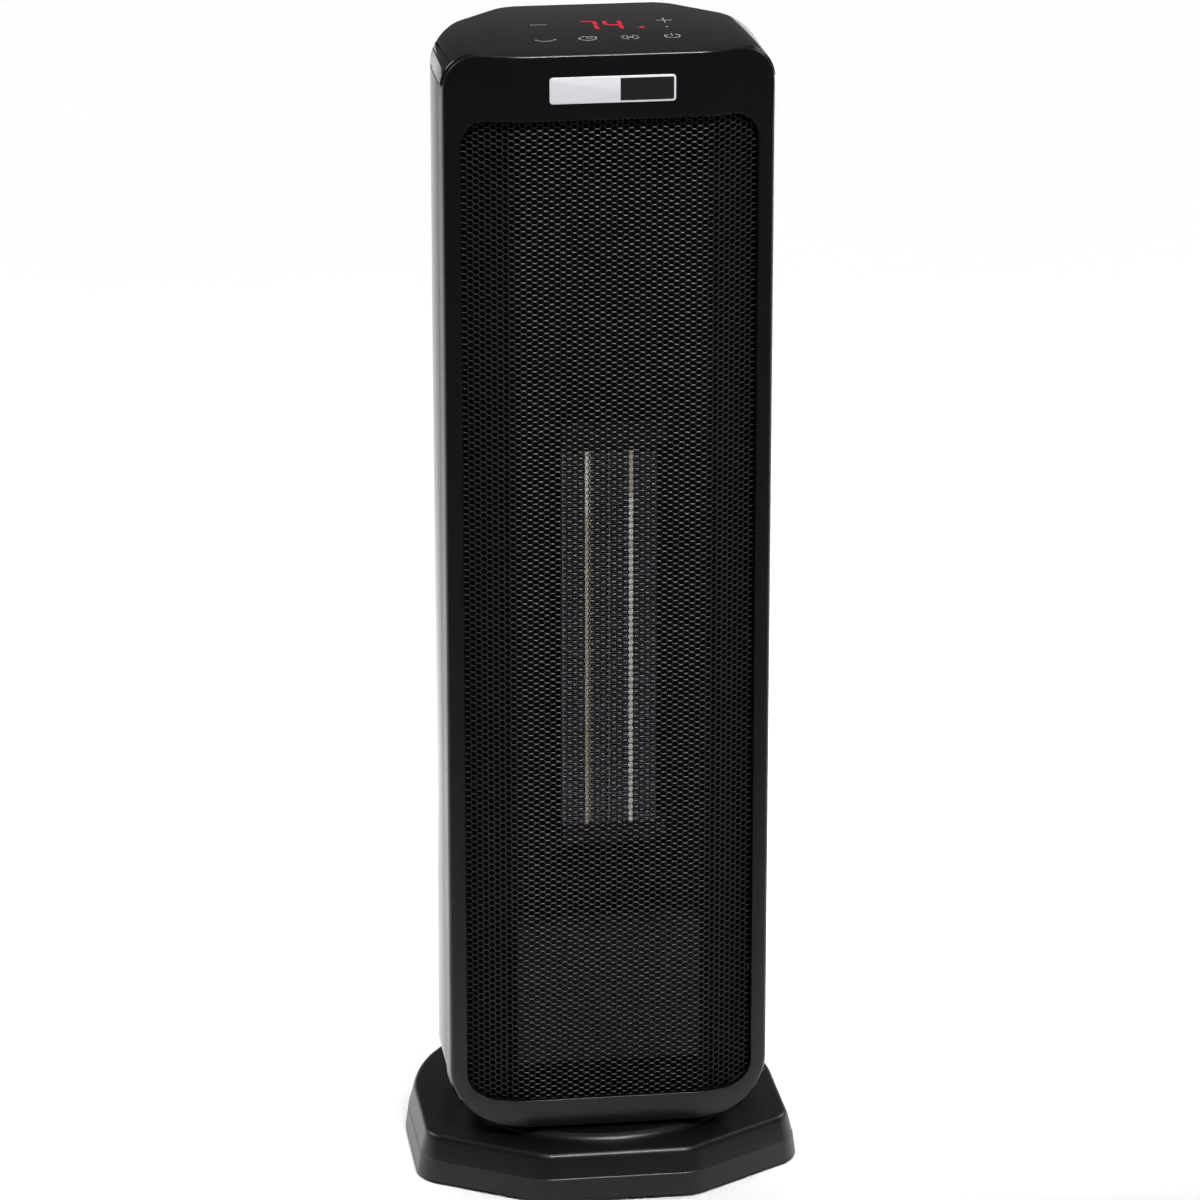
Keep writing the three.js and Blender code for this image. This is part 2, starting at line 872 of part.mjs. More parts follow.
// Six-sided cells in staggered columns, each a whole cell inside the opening.
function grilleCells() {
  const columnPitch = (grilleCellPitch * Math.sqrt(3)) / 2;
  const cellRadius = (grilleCellPitch - grilleWeb) / Math.sqrt(3);
  const sideColumns = Math.floor((openingWidth / 2 - cellRadius) / columnPitch);
  const centreZ = (openingBottom + openingTop) / 2;
  const reach = (openingTop - openingBottom) / 2 - grilleCellPitch / 2;
  const cells = [];
  for (let column = -sideColumns; column <= sideColumns; column += 1) {
    const lift = column % 2 === 0 ? 0 : grilleCellPitch / 2;
    const rows = Math.floor((reach - lift) / grilleCellPitch);
    for (let row = -rows - (lift > 0 ? 1 : 0); row <= rows; row += 1) {
      cells.push(hexagon(cellRadius, column * columnPitch, centreZ + lift + row * grilleCellPitch));
    }
  }
  return cells;
}

function buildGrille() {
  const outer = frameWall + fitGap;
  const slab = (depth) => prismUp(towerPlan(depth), openingBottom - everywhere, openingTop + everywhere);
  const bent = cut(slab(outer), slab(outer + grilleSheet));
  const trimmed = common(bent, prismBack(openingOutline(grilleMargin), -everywhere, partingY));
  const punches = grilleCells().map((points) => {
    const shape = new THREE.Shape(points);
    const geometry = new THREE.ExtrudeGeometry(shape, { depth: frontReach, bevelEnabled: false });
    geometry.rotateX(Math.PI / 2);
    geometry.translate(0, partingY, 0);
    return geometry;
  });
  return cut(trimmed, solid(mergeGeometries(punches)));
}

function buildBadge() {
  const middle = overallHeight - badgeDrop;
  const corners = rectangle(
    -badgeWidth / 2,
    badgeWidth / 2,
    middle - badgeHeight / 2,
    middle + badgeHeight / 2,
  );
  return prismBack(softened(corners, [badgeCorner]), -frontReach - badgeThickness, -frontReach);
}

function intakeOutline(depth) {
  return inset(
    rectangle(-intakeWidth / 2, intakeWidth / 2, intakeBottom, intakeBottom + intakeHeight),
    depth,
  );
}

function handleOutline(grow) {
  const corners = rectangle(-handleWidth / 2, handleWidth / 2, handleBottom, handleBottom + handleHeight);
  return softened(inset(corners, -grow), [handleCorner + grow]);
}

function buildRearHousing() {
  const outer = common(towerBody(0, housingBottomCorner), behind(partingY + housingSeam));
  const shell = cut(outer, towerBody(housingWall, housingBottomCorner));
  const ribSide = halfTower - housingWall;
  const ribZ = [chassisBottom + ribEndDrop, chassisTop - ribEndDrop];
  const ribs = [-1, 1].map((side) =>
    block(
      Math.min(side * (ribSide - ribThickness), side * (ribSide + housingWall / 2)),
      Math.max(side * (ribSide - ribThickness), side * (ribSide + housingWall / 2)),
      chassisRearY,
      chassisRearY + ribDepth,
      ...ribZ,
    ),
  );
  const body = towerBody(0, housingBottomCorner);
  const tunnels = frameScrewPlaces.map(([x, z]) =>
    common(rearward(tunnelRadius, partingY + housingSeam, rearY, x, z), body),
  );
  const tunnelBores = frameScrewPlaces.map(([x, z]) =>
    rearward(screwHead + fitGap, frameScrewSeatY - screwHeadHeight, everywhere, x, z),
  );
  const screwHoles = frameScrewPlaces.map(([x, z]) =>
    rearward(screwShank + fitGap, -frontReach, everywhere, x, z, screwSides),
  );
  const pocketFloorY = rearY - handleDepth;
  const pocketWalls = common(prismBack(handleOutline(handleWall), pocketFloorY - handleWall, rearY), body);
  const pocket = prismBack(handleOutline(0), pocketFloorY, everywhere);
  const intakeSeat = prismBack(intakeOutline(0), rearY - intakePanelThickness, everywhere);
  const intakeFrame = common(
    cut(
      prismBack(intakeOutline(-housingWall), rearY - intakePanelThickness - intakeLedge, rearY),
      prismBack(intakeOutline(intakeLedge), rearY - everywhere, rearY + cutOver),
    ),
    body,
  );
  const intakeHole = prismBack(intakeOutline(intakeLedge), 0, everywhere);
  const hubPass = upright(hubHoleRadius, 0, housingFloor + cutOver);
  const cover = above(seamHeight);
  const chassisScrewHoles = chassisScrewPlaces().map(([x, z]) =>
    rearward(screwShank + fitGap, partingY, chassisRearY + ribDepth - fitGap, x, z, screwSides),
  );
  return cut(
    join(shell, ...ribs, ...tunnels, pocketWalls, intakeFrame),
    cover,
    hubPass,
    pocket,
    intakeHole,
    intakeSeat,
    ...tunnelBores,
    ...screwHoles,
    ...chassisScrewHoles,
  );
}

function chassisScrewPlaces() {
  const x = halfTower - housingWall - ribThickness / 2;
  const low = chassisBottom + ribEndDrop * 3;
  const high = chassisTop - ribEndDrop * 3;
  return [
    [-x, low],
    [x, low],
    [x, high],
    [-x, high],
  ];
}

function buildIntakeGrille() {
  const panel = prismBack(intakeOutline(fitGap), rearY - intakePanelThickness + fitGap, rearY);
  const slotPitch = (intakeHeight - 2 * intakeSlotMargin) / intakeSlots;
  const halfWidth = intakeWidth / 2 - intakeSlotMargin;
  const halfHeight = intakeSlotHeight / 2;
  const slots = [];
  for (let row = 0; row < intakeSlots; row += 1) {
    const z = intakeBottom + intakeSlotMargin + row * slotPitch + slotPitch / 2;
    slots.push(block(-halfWidth, halfWidth, 0, rearY + cutOver, z - halfHeight, z + halfHeight));
  }
  return cut(panel, ...slots);
}

function buildFilter() {
  const back = rearY - intakePanelThickness;
  const outline = intakeOutline(intakeLedge + fitGap);
  return prismBack(outline, back - filterThickness, back);
}

function buildTopCover() {
  const body = common(towerBody(0, frameBottomCorner), above(seamHeight), behindFace(frameWall + fitGap));
  const hollow = common(
    towerBody(coverWall, frameBottomCorner),
    behindFace(frameWall + fitGap + coverWall),
  );
  const lipSide = housingWall + fitGap;
  const lipOuter = common(towerBody(lipSide, housingBottomCorner), behind(partingY + frameReturn));
  const lipInner = towerBody(lipSide + coverLipThickness, housingBottomCorner);
  const lipBottom = seamHeight - coverLipDepth;
  const lipTop = seamHeight + coverLipDepth;
  const lipBand = block(-everywhere, everywhere, -everywhere, everywhere, lipBottom, lipTop);
  const lip = common(cut(lipOuter, lipInner), lipBand);
  return cut(join(cut(body, hollow), lip), screwTunnelClearance());
}

// Room in the cover's lip for the two upper screw tunnels.
function screwTunnelClearance() {
  const half = tunnelRadius + fitGap;
  const top = Math.min(highScrewZ + half, seamHeight - fitGap);
  const room = (x) => block(x - half, x + half, -everywhere, everywhere, highScrewZ - half, top);
  return join(room(highScrewX), room(-highScrewX));
}

place(tower, "front_frame", buildFrontFrame(), satinBlack);
place(tower, "front_grille", buildGrille(), grilleBlack);
place(tower, "rear_housing", buildRearHousing(), glossBlack);
place(tower, "top_cover", buildTopCover(), glossBlack);
place(tower, "badge_plate", buildBadge(), badgeSilver);
place(tower, "intake_grille", buildIntakeGrille(), mouldedBlack);
place(tower, "dust_filter", buildFilter(), filterGrey);
frameScrewPlaces.forEach(([x, z], i) =>
  screwForward(tower, `frame_screw_${i + 1}`, x, frameScrewSeatY, z, screwLength),
);

// Swivel under the tower

function buildSwivelFoot() {
  const flange = common(
    upright(hubFlangeRadius, housingFloor, hubFlangeTop),
    prismUp(towerPlan(housingWall + fitGap), towerUnderside, overallHeight),
    behind(partingY + housingSeam + fitGap),
  );
  const tube = upright(hubOuterRadius, hubBottom, hubFlangeTop);
  const hollow = upright(hubOuterRadius - hubWall, hubBottom - cutOver, housingFloor);
  const wires = upright(wireHoleRadius, 0, hubFlangeTop + cutOver, 0, 0, smallSides);
  const shaftTop = hubFlangeTop + cutOver;
  const shaftPass = upright(swingBossRadius + fitGap, 0, shaftTop, gearCentres, 0, smallSides);
  const holes = retainerScrewPlaces().map(([x, y]) =>
    upright(screwShank + fitGap, hubBottom - cutOver, hubFlangeTop - fitGap, x, y, screwSides),
  );
  return cut(join(flange, cut(tube, hollow)), wires, shaftPass, ...holes);
}

function retainerScrewPlaces() {
  const radius = hubOuterRadius - hubWall / 2;
  return [0, 1, 2].map((k) => {
    const point = circlePoint(radius, Math.PI / 2 + (k * 2 * Math.PI) / 3);
    return [point.x, point.y];
  });
}

function buildRetainer() {
  const ring = turned([
    [retainerInnerRadius, retainerBottom],
    [retainerOuterRadius, retainerBottom],
    [retainerOuterRadius, hubBottom],
    [retainerInnerRadius, hubBottom],
  ]);
  const holes = retainerScrewPlaces().map(([x, y]) =>
    upright(screwShank + fitGap, retainerBottom - cutOver, hubBottom + cutOver, x, y, screwSides),
  );
  return cut(ring, ...holes);
}

function buildSwingMotor() {
  const centreX = gearCentres + swingShaftOffset;
  const can = upright(swingMotorRadius, hubFlangeTop, hubFlangeTop + swingMotorHeight, centreX, 0);
  const boss = upright(swingBossRadius, housingFloor, hubFlangeTop + cutOver, gearCentres, 0, smallSides);
  const bore = upright(
    pinionShaftRadius + fitGap,
    housingFloor - cutOver,
    hubFlangeTop + swingMotorHeight / 2,
    gearCentres,
    0,
    smallSides,
  );
  return cut(join(can, boss), bore);
}

function buildPinion() {
  const low = gearBottom - fitGap;
  const high = gearBottom + gearThickness + fitGap;
  const toothed = prismUp(gearOutline(pinionTeeth, 0, fitGap), low, high);
  const shaftTop = hubFlangeTop + swingMotorHeight / 2 - fitGap;
  const shaft = upright(pinionShaftRadius, low, shaftTop, 0, 0, smallSides);
  return join(toothed, shaft).translate([gearCentres, 0, 0]);
}

place(tower, "swivel_foot", buildSwivelFoot(), mouldedBlack);
place(tower, "hub_retainer", buildRetainer(), mouldedBlack);
retainerScrewPlaces().forEach(([x, y], i) =>
  screwUp(tower, `retainer_screw_${i + 1}`, x, y, retainerBottom - screwHeadHeight, retainerScrewLength),
);
place(tower, "swing_motor", buildSwingMotor(), motorSteel);
place(tower, "swing_pinion", buildPinion(), gearWhite);

// Inner chassis with the heating element in front of it

const holderPlaces = [elementBottom - holderHeight / 2, elementTop + holderHeight / 2];

function buildChassis() {
  const plate = common(
    block(-halfTower, halfTower, chassisFrontY, chassisRearY, chassisBottom, chassisTop),
    towerBody(housingWall + 2 * fitGap, housingBottomCorner),
  );
  const window = block(
    -elementHalfWidth,
    elementHalfWidth,
    -frontReach,
    everywhere,
    elementBottom,
    elementTop,
  );
  const ribbonHole = block(
    ribbonSide - ribbonThickness,
    ribbonSide + ribbonWidth + ribbonThickness,
    -frontReach,
    everywhere,
    ribbonPass - 2 * ribbonThickness,
    ribbonPass + 2 * ribbonThickness,
  );
  const screws = [...chassisScrewPlaces(), ...holderPlaces.map((z) => [holderScrewX, z])];
  const holes = screws.map(([x, z]) =>
    rearward(screwShank + fitGap, -frontReach, everywhere, x, z, screwSides),
  );
  return cut(plate, window, ribbonHole, ...holes);
}

const chassisScrewLength = screwHeadHeight + chassisThickness + ribDepth - screwTipGap;
const holderScrewX = (elementHalfWidth + elementRail + holderReach) / 2;
const holderTabY = (elementFrontY + elementRearY) / 2;

// A holder bar across one end of the element, with a thinner screw tab on its right.
function buildHolder(z0, z1) {
  const side = elementHalfWidth + elementRail;
  const bar = block(-side, side, elementFrontY, elementRearY, z0, z1);
  const tab = block(0, holderReach, holderTabY, elementRearY, z0, z1);
  const middle = (z0 + z1) / 2;
  const hole = rearward(screwShank + fitGap, -everywhere, everywhere, holderScrewX, middle, screwSides);
  return cut(join(bar, tab), hole);
}

// One metal strip, folded to and fro between two uprights.
function buildFins(x0, x1) {
  const low = elementBottom + fitGap;
  const foldHeight = (elementHeight - 2 * fitGap) / finFolds;
  const near = [];
  const far = [];
  for (let fold = 0; fold <= finFolds; fold += 1) {
    const z = low + fold * foldHeight;
    const x = fold % 2 === 0 ? x0 : x1 - finThickness;
    near.push(new THREE.Vector2(x, z));
    far.push(new THREE.Vector2(x + finThickness, z));
  }
  return prismBack(far.concat(near.reverse()), elementFrontY + fitGap, elementRearY - fitGap);
}

// A row of ceramic stones, marked off by shallow grooves on the front.
function buildCeramicRow(x) {
  const half = ceramicWidth / 2;
  const low = elementBottom + fitGap;
  const row = block(x - half, x + half, elementFrontY, elementRearY, low, elementTop - fitGap);
  const stoneHeight = elementHeight / stoneCount;
  const grooves = [];
  for (let stone = 1; stone < stoneCount; stone += 1) {
    const z = elementBottom + stone * stoneHeight;
    grooves.push(
      block(
        x - half - cutOver,
        x + half + cutOver,
        elementFrontY - cutOver,
        elementFrontY + stoneGroove,
        z - stoneGroove / 2,
        z + stoneGroove / 2,
      ),
    );
  }
  return cut(row, ...grooves);
}

function buildCentreBar() {
  const half = centreBarWidth / 2;
  return block(-half, half, elementFrontY, elementRearY, elementBottom + fitGap, elementTop - fitGap);
}

function buildRail(side) {
  const inner = elementHalfWidth + fitGap / 2;
  const outer = inner + elementRail;
  return block(
    Math.min(side * inner, side * outer),
    Math.max(side * inner, side * outer),
    elementFrontY,
    elementRearY,
    elementBottom + fitGap,
    elementTop - fitGap,
  );
}

function buildCutout() {
  const back = chassisRearY + cutoutDepth;
  return rearward(cutoutRadius, chassisRearY, back, -cutoutSide, elementTop, smallSides * 2);
}

place(tower, "inner_chassis", buildChassis(), mouldedBlack);
chassisScrewPlaces().forEach(([x, z], i) =>
  screwRearward(tower, `chassis_screw_${i + 1}`, x, chassisFrontY - screwHeadHeight, z, chassisScrewLength),
);
const holderScrewY = holderTabY - screwHeadHeight;
holderPlaces.forEach((z, i) =>
  screwRearward(tower, `heater_screw_${i + 1}`, holderScrewX, holderScrewY, z, holderScrewLength),
);
place(tower, "heater_bottom_holder", buildHolder(elementBottom - holderHeight, elementBottom), resinBrown);
place(tower, "heater_top_holder", buildHolder(elementTop, elementTop + holderHeight), resinBrown);
place(tower, "heater_rail_left", buildRail(-1), aluminium);
place(tower, "heater_rail_right", buildRail(1), aluminium);
const rowInner = elementRowOffset - ceramicWidth / 2 - fitGap;
const rowOuter = elementRowOffset + ceramicWidth / 2 + fitGap;
const barSide = centreBarWidth / 2 + fitGap;
const finEdge = elementHalfWidth - fitGap / 2;
place(tower, "heater_fins_left_outer", buildFins(-finEdge, -rowOuter), aluminium);
place(tower, "heater_fins_left_inner", buildFins(-rowInner, -barSide), aluminium);
place(tower, "heater_fins_right_inner", buildFins(barSide, rowInner), aluminium);
place(tower, "heater_fins_right_outer", buildFins(rowOuter, finEdge), aluminium);
place(tower, "ceramic_row_left", buildCeramicRow(-elementRowOffset), ceramicCream);
place(tower, "ceramic_row_right", buildCeramicRow(elementRowOffset), ceramicCream);
place(tower, "heater_centre_bar", buildCentreBar(), aluminium);
place(tower, "thermal_cutout", buildCutout(), steelGrey);

// Blower behind the chassis

const blowerFrontY = chassisRearY + fitGap;
const wheelBottom = blowerBottom + blowerPlate + wheelEndGap;
const wheelTop = blowerTop - blowerPlate - wheelEndGap;

// The scroll wall runs back from the duct and round behind the wheel.
function scrollWall() {
  const outer = [];
  const inner = [];
  for (let step = 0; step <= scrollSteps; step += 1) {
    const angle = Math.PI - (2 * Math.PI * scrollTurnShare * step) / scrollSteps;
    const radius = ductHalfWidth + (scrollGrowth * step) / scrollSteps;
    inner.push(circlePoint(radius, angle).add(new THREE.Vector2(0, wheelSetback)));
    outer.push(circlePoint(radius + blowerWall, angle).add(new THREE.Vector2(0, wheelSetback)));
  }
  const front = [
    new THREE.Vector2(-ductHalfWidth - blowerWall, blowerFrontY),
    new THREE.Vector2(-ductHalfWidth, blowerFrontY),
  ];
  return [...front, ...inner, ...outer.reverse()];
}

function tongueWall() {
  const end = wheelSetback - wheelRadius / 2;
  return rectangle(ductHalfWidth, ductHalfWidth + blowerWall, blowerFrontY, end);
}

function blowerPlateOutline() {
  const rear = wheelSetback + ductHalfWidth + scrollGrowth + blowerWall;
  return softened(rectangle(-blowerHalfWidth, blowerHalfWidth, blowerFrontY, rear), [blowerWall]);
}

function buildBlowerHousing() {
  const walls = [scrollWall(), tongueWall()].map((points) => prismUp(points, blowerBottom, blowerTop));
  const low = prismUp(blowerPlateOutline(), blowerBottom, blowerBottom + blowerPlate);
  const high = prismUp(blowerPlateOutline(), blowerTop - blowerPlate, blowerTop);
  const shaftHole = upright(
    wheelShaftRadius + 2 * fitGap,
    blowerBottom - cutOver,
    blowerBottom + blowerPlate + cutOver,
    0,
    wheelSetback,
    smallSides,
  );
  const bearingHoleRadius = bearingRadius + fitGap;
  const bearingHole = upright(bearingHoleRadius, wheelTop, blowerTop + cutOver, 0, wheelSetback, smallSides);
  return cut(join(...walls, low, high), shaftHole, bearingHole);
}

function bladeOutline(angle) {
  const middle = (bladeInnerRadius + wheelRadius) / 2;
  const lean = 2 * Math.PI * bladeLeanShare;
  const half = bladeThickness / 2;
  const spine = [
    [bladeInnerRadius, angle],
    [middle, angle + lean / 2],
    [wheelRadius - fitGap, angle + 2 * lean],
  ];
  const near = spine.map(([radius, turn]) => circlePoint(radius, turn - half / radius));
  const far = spine.map(([radius, turn]) => circlePoint(radius, turn + half / radius)).reverse();
  return near.concat(far);
}

function buildImpeller() {
  const disc = (z) => upright(wheelRadius, z, z + blowerPlate);
  const middle = (wheelBottom + wheelTop) / 2;
  const middleTop = middle + blowerPlate + cutOver;
  const middleHole = upright(bladeInnerRadius - blowerPlate, middle - cutOver, middleTop);
  const ring = cut(disc(middle), middleHole);
  const blades = [];
  for (let k = 0; k < bladeCount; k += 1) {
    const outline = bladeOutline((k * 2 * Math.PI) / bladeCount);
    blades.push(prismUp(outline, wheelBottom + blowerPlate / 2, wheelTop - blowerPlate / 2));
  }
  const lowShaft = upright(
    wheelShaftRadius,
    blowerBottom - blowerMotorHeight + blowerPlate,
    wheelBottom + blowerPlate / 2,
    0,
    0,
    smallSides,
  );
  const shaftTop = blowerTop + bearingHeight / 2;
  const highShaft = upright(wheelShaftRadius, wheelTop - blowerPlate / 2, shaftTop, 0, 0, smallSides);
  const wheel = join(disc(wheelBottom), disc(wheelTop - blowerPlate), ring, ...blades, lowShaft, highShaft);
  return wheel.translate([0, wheelSetback, 0]);
}

function buildBearing() {
  const low = blowerTop - blowerPlate + fitGap;
  return turned(
    [
      [wheelShaftRadius + fitGap, low],
      [bearingRadius, low],
      [bearingRadius, blowerTop],
      [bearingRadius + blowerPlate, blowerTop],
      [bearingRadius + blowerPlate, blowerTop + bearingHeight / 2],
      [wheelShaftRadius + fitGap, blowerTop + bearingHeight / 2],
    ],
    0,
    wheelSetback,
    smallSides,
  );
}

function buildBlowerMotor() {
  const bottom = blowerBottom - blowerMotorHeight;
  const can = upright(blowerMotorRadius, bottom, blowerBottom - blowerPlate, 0, wheelSetback);
  const noseBottom = blowerBottom - 2 * blowerPlate;
  const nose = upright(blowerMotorRadius / 2, noseBottom, blowerBottom, 0, wheelSetback, smallSides * 2);
  const boreRadius = wheelShaftRadius + fitGap;
  const boreBottom = bottom + blowerPlate - fitGap;
  const bore = upright(boreRadius, boreBottom, blowerBottom + cutOver, 0, wheelSetback, smallSides);
  return cut(join(can, nose), bore);
}

place(tower, "blower_housing", buildBlowerHousing(), mouldedBlack);
place(tower, "blower_wheel", buildImpeller(), mouldedBlack);
place(tower, "blower_bearing", buildBearing(), gearWhite);
place(tower, "blower_motor", buildBlowerMotor(), motorSteel);

// Electronics

const powerBoardY = elementRearY - boardStandoff - boardThickness;
const boxInside = powerBoxWidth / 2 - powerBoxWall;

function buildPowerBox() {
  const half = powerBoxWidth / 2;
  const front = elementRearY - powerBoxDepth;
  const outer = block(-half, half, front, elementRearY, powerBoxBottom, powerBoxTop);
  const inner = block(
    -boxInside,
    boxInside,
    front + powerBoxWall,
    elementRearY + cutOver,
    powerBoxBottom + powerBoxWall,
    powerBoxTop - powerBoxWall,
  );
  return cut(outer, inner);
}

function buildPowerBoard() {
  const half = boxInside - fitGap;
  const low = powerBoxBottom + powerBoxWall + fitGap;
  const high = powerBoxTop - powerBoxWall - fitGap;
  const sheet = block(-half, half, powerBoardY, powerBoardY + boardThickness, low, high);
  const depth = powerBoxDepth - powerBoxWall - boardStandoff - boardThickness - 2 * fitGap;
  const parts = powerPartShares.map(([xShare, zShare, wideShare, tallShare, deepShare]) => {
    const x = xShare * half;
    const z = low + zShare * (high - low);
    const wide = wideShare * half;
    const tall = tallShare * (high - low);
    const front = powerBoardY - deepShare * depth;
    return block(x - wide, x + wide, front, powerBoardY + boardThickness / 2, z - tall, z + tall);
  });
  return join(sheet, ...parts);
}

function buildTiltSwitch() {
  const x = boxInside * tiltSwitchShares[0];
  const z = powerBoxBottom + powerBoxHeight * tiltSwitchShares[1];
  return rearward(tiltSwitchSize / 2, powerBoardY - fitGap - tiltSwitchSize, powerBoardY - fitGap, x, z);
}

const touchTop = overallHeight - coverWall - fitGap;
const touchBottom = touchTop - boardThickness;

function buildTouchBoard() {
  const half = touchBoardWidth / 2;
  const sheet = block(-half, half, -touchBoardFront, touchBoardRear, touchBottom, touchTop);
  const room = block(
    -displayWidth / 2 - fitGap,
    displayWidth / 2 + fitGap,
    -displaySetback - displayDepth / 2 - fitGap,
    -displaySetback + displayDepth / 2 + fitGap,
    touchBottom - cutOver,
    touchTop + cutOver,
  );
  const overlap = touchBottom + boardThickness / 2;
  const chipSide = -half / 2;
  const chipBottom = touchBottom - boardThickness;
  const chip = block(chipSide - displayWidth / 4, chipSide, 0, displayDepth / 2, chipBottom, overlap);
  const socketFront = chassisRearY + ribbonThickness + 2 * fitGap;
  const socket = block(
    ribbonSide - ribbonThickness,
    ribbonSide + ribbonWidth + ribbonThickness,
    socketFront,
    socketFront + socketDepth,
    touchBottom - socketDrop,
    overlap,
  );
  return cut(join(sheet, chip, socket), room);
}

function buildDisplay() {
  const half = displayWidth / 2;
  const body = block(
    -half,
    half,
    -displaySetback - displayDepth / 2,
    -displaySetback + displayDepth / 2,
    touchTop - displayHeight,
    touchTop,
  );
  const ledge = block(
    -half - 2 * fitGap,
    half + 2 * fitGap,
    -displaySetback - displayDepth / 2 - 2 * fitGap,
    -displaySetback + displayDepth / 2 + 2 * fitGap,
    touchTop - displayHeight,
    touchBottom - fitGap,
  );
  return join(body, ledge);
}

// A flat cable: up the back of the chassis, with its foot through the slot to the power board.
function buildRibbon() {
  const rise = touchBottom - fitGap;
  const boardFace = powerBoardY + boardThickness + fitGap;
  const backFace = chassisRearY + fitGap;
  const x0 = ribbonSide;
  const x1 = ribbonSide + ribbonWidth;
  const back = backFace + ribbonThickness;
  const low = ribbonPass - ribbonThickness / 2;
  const foot = block(x0, x1, boardFace, back, low, low + ribbonThickness);
  const run = block(x0, x1, backFace, back, low, rise);
  return join(foot, run);
}

place(tower, "power_box", buildPowerBox(), resinBrown);
place(tower, "power_board", buildPowerBoard(), boardGreen);
place(tower, "tilt_switch", buildTiltSwitch(), steelGrey);
place(tower, "touch_board", buildTouchBoard(), boardGreen);
place(tower, "display_module", buildDisplay(), displayRed);
place(tower, "control_ribbon", buildRibbon(), filterGrey);

export default heater;
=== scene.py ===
# Tower heater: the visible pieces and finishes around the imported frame.
# Metres, +Z up, front towards -Y, origin on the floor on the swing axis.

import math

import bmesh
import bpy
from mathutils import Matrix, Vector


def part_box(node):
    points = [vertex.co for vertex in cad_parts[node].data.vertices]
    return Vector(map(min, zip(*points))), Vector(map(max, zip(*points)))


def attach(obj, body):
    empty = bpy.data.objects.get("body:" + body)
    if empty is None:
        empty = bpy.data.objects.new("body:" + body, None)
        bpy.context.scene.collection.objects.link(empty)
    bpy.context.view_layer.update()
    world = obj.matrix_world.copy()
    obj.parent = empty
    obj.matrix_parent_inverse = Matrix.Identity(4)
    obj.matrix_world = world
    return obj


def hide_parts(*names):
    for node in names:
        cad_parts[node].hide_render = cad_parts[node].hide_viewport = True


bl_info = {
    "name": "Tower heater",
    "version": (1, 0, 0),
    "blender": (4, 5, 0),
    "location": "View3D > Sidebar > Heater",
    "description": "Models the shell, grille, base and touch panel of a tower heater",
    "category": "Object",
}

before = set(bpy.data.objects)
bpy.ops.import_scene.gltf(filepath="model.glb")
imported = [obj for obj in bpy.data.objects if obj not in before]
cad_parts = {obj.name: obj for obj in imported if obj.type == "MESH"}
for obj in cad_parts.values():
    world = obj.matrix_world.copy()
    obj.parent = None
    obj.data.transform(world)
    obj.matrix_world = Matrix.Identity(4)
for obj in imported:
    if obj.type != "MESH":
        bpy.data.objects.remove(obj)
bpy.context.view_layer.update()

MM = 0.001
# A distance that lies outside the tower on every side
BEYOND = 0.3
# How near two places on a piece are when they count as one
HAIR = 0.01 * MM
# How far a tool reaches past the surface that it cuts
PAST = 5 * MM
HUB_HOLE = 33.6 * MM

# Places that follow from the frame

FRAME_LOW, FRAME_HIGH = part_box("front_frame")
SHELL_LOW, SHELL_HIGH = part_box("rear_housing")
BASE_LOW, BASE_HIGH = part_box("base_cover")
BADGE_LOW, BADGE_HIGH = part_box("badge_plate")
INTAKE_LOW, INTAKE_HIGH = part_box("intake_grille")
GLAND_LOW, GLAND_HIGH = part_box("cord_gland")

HALF_WIDTH = FRAME_HIGH.x
FRONT_Y = FRAME_LOW.y
PARTING_Y = FRAME_HIGH.y
REAR_Y = SHELL_HIGH.y
BEHIND = REAR_Y + 40 * MM
UNDERSIDE = FRAME_LOW.z
TOP = FRAME_HIGH.z
SEAM = SHELL_HIGH.z

# Printed marks: their thickness, their underside just inside the cap, and a line's width in millimetres
INK = 0.06 * MM
INK_LEVEL = TOP - 0.02 * MM
THIN = 0.6

FINS = tuple(f"heater_fins_{place}" for place in ("left_outer", "left_inner", "right_inner", "right_outer"))


# Properties


def length(name, description, default):
    values = {"subtype": "DISTANCE", "unit": "LENGTH", "precision": 5}
    return bpy.props.FloatProperty(name=name, description=description, default=default * MM, **values)


def share(name, description, default):
    return bpy.props.FloatProperty(name=name, description=description, default=default, min=0.0, max=1.0)


def colour(name, description, default):
    values = {"size": 3, "min": 0.0, "max": 1.0, "subtype": "COLOR"}
    return bpy.props.FloatVectorProperty(name=name, description=description, default=default, **values)


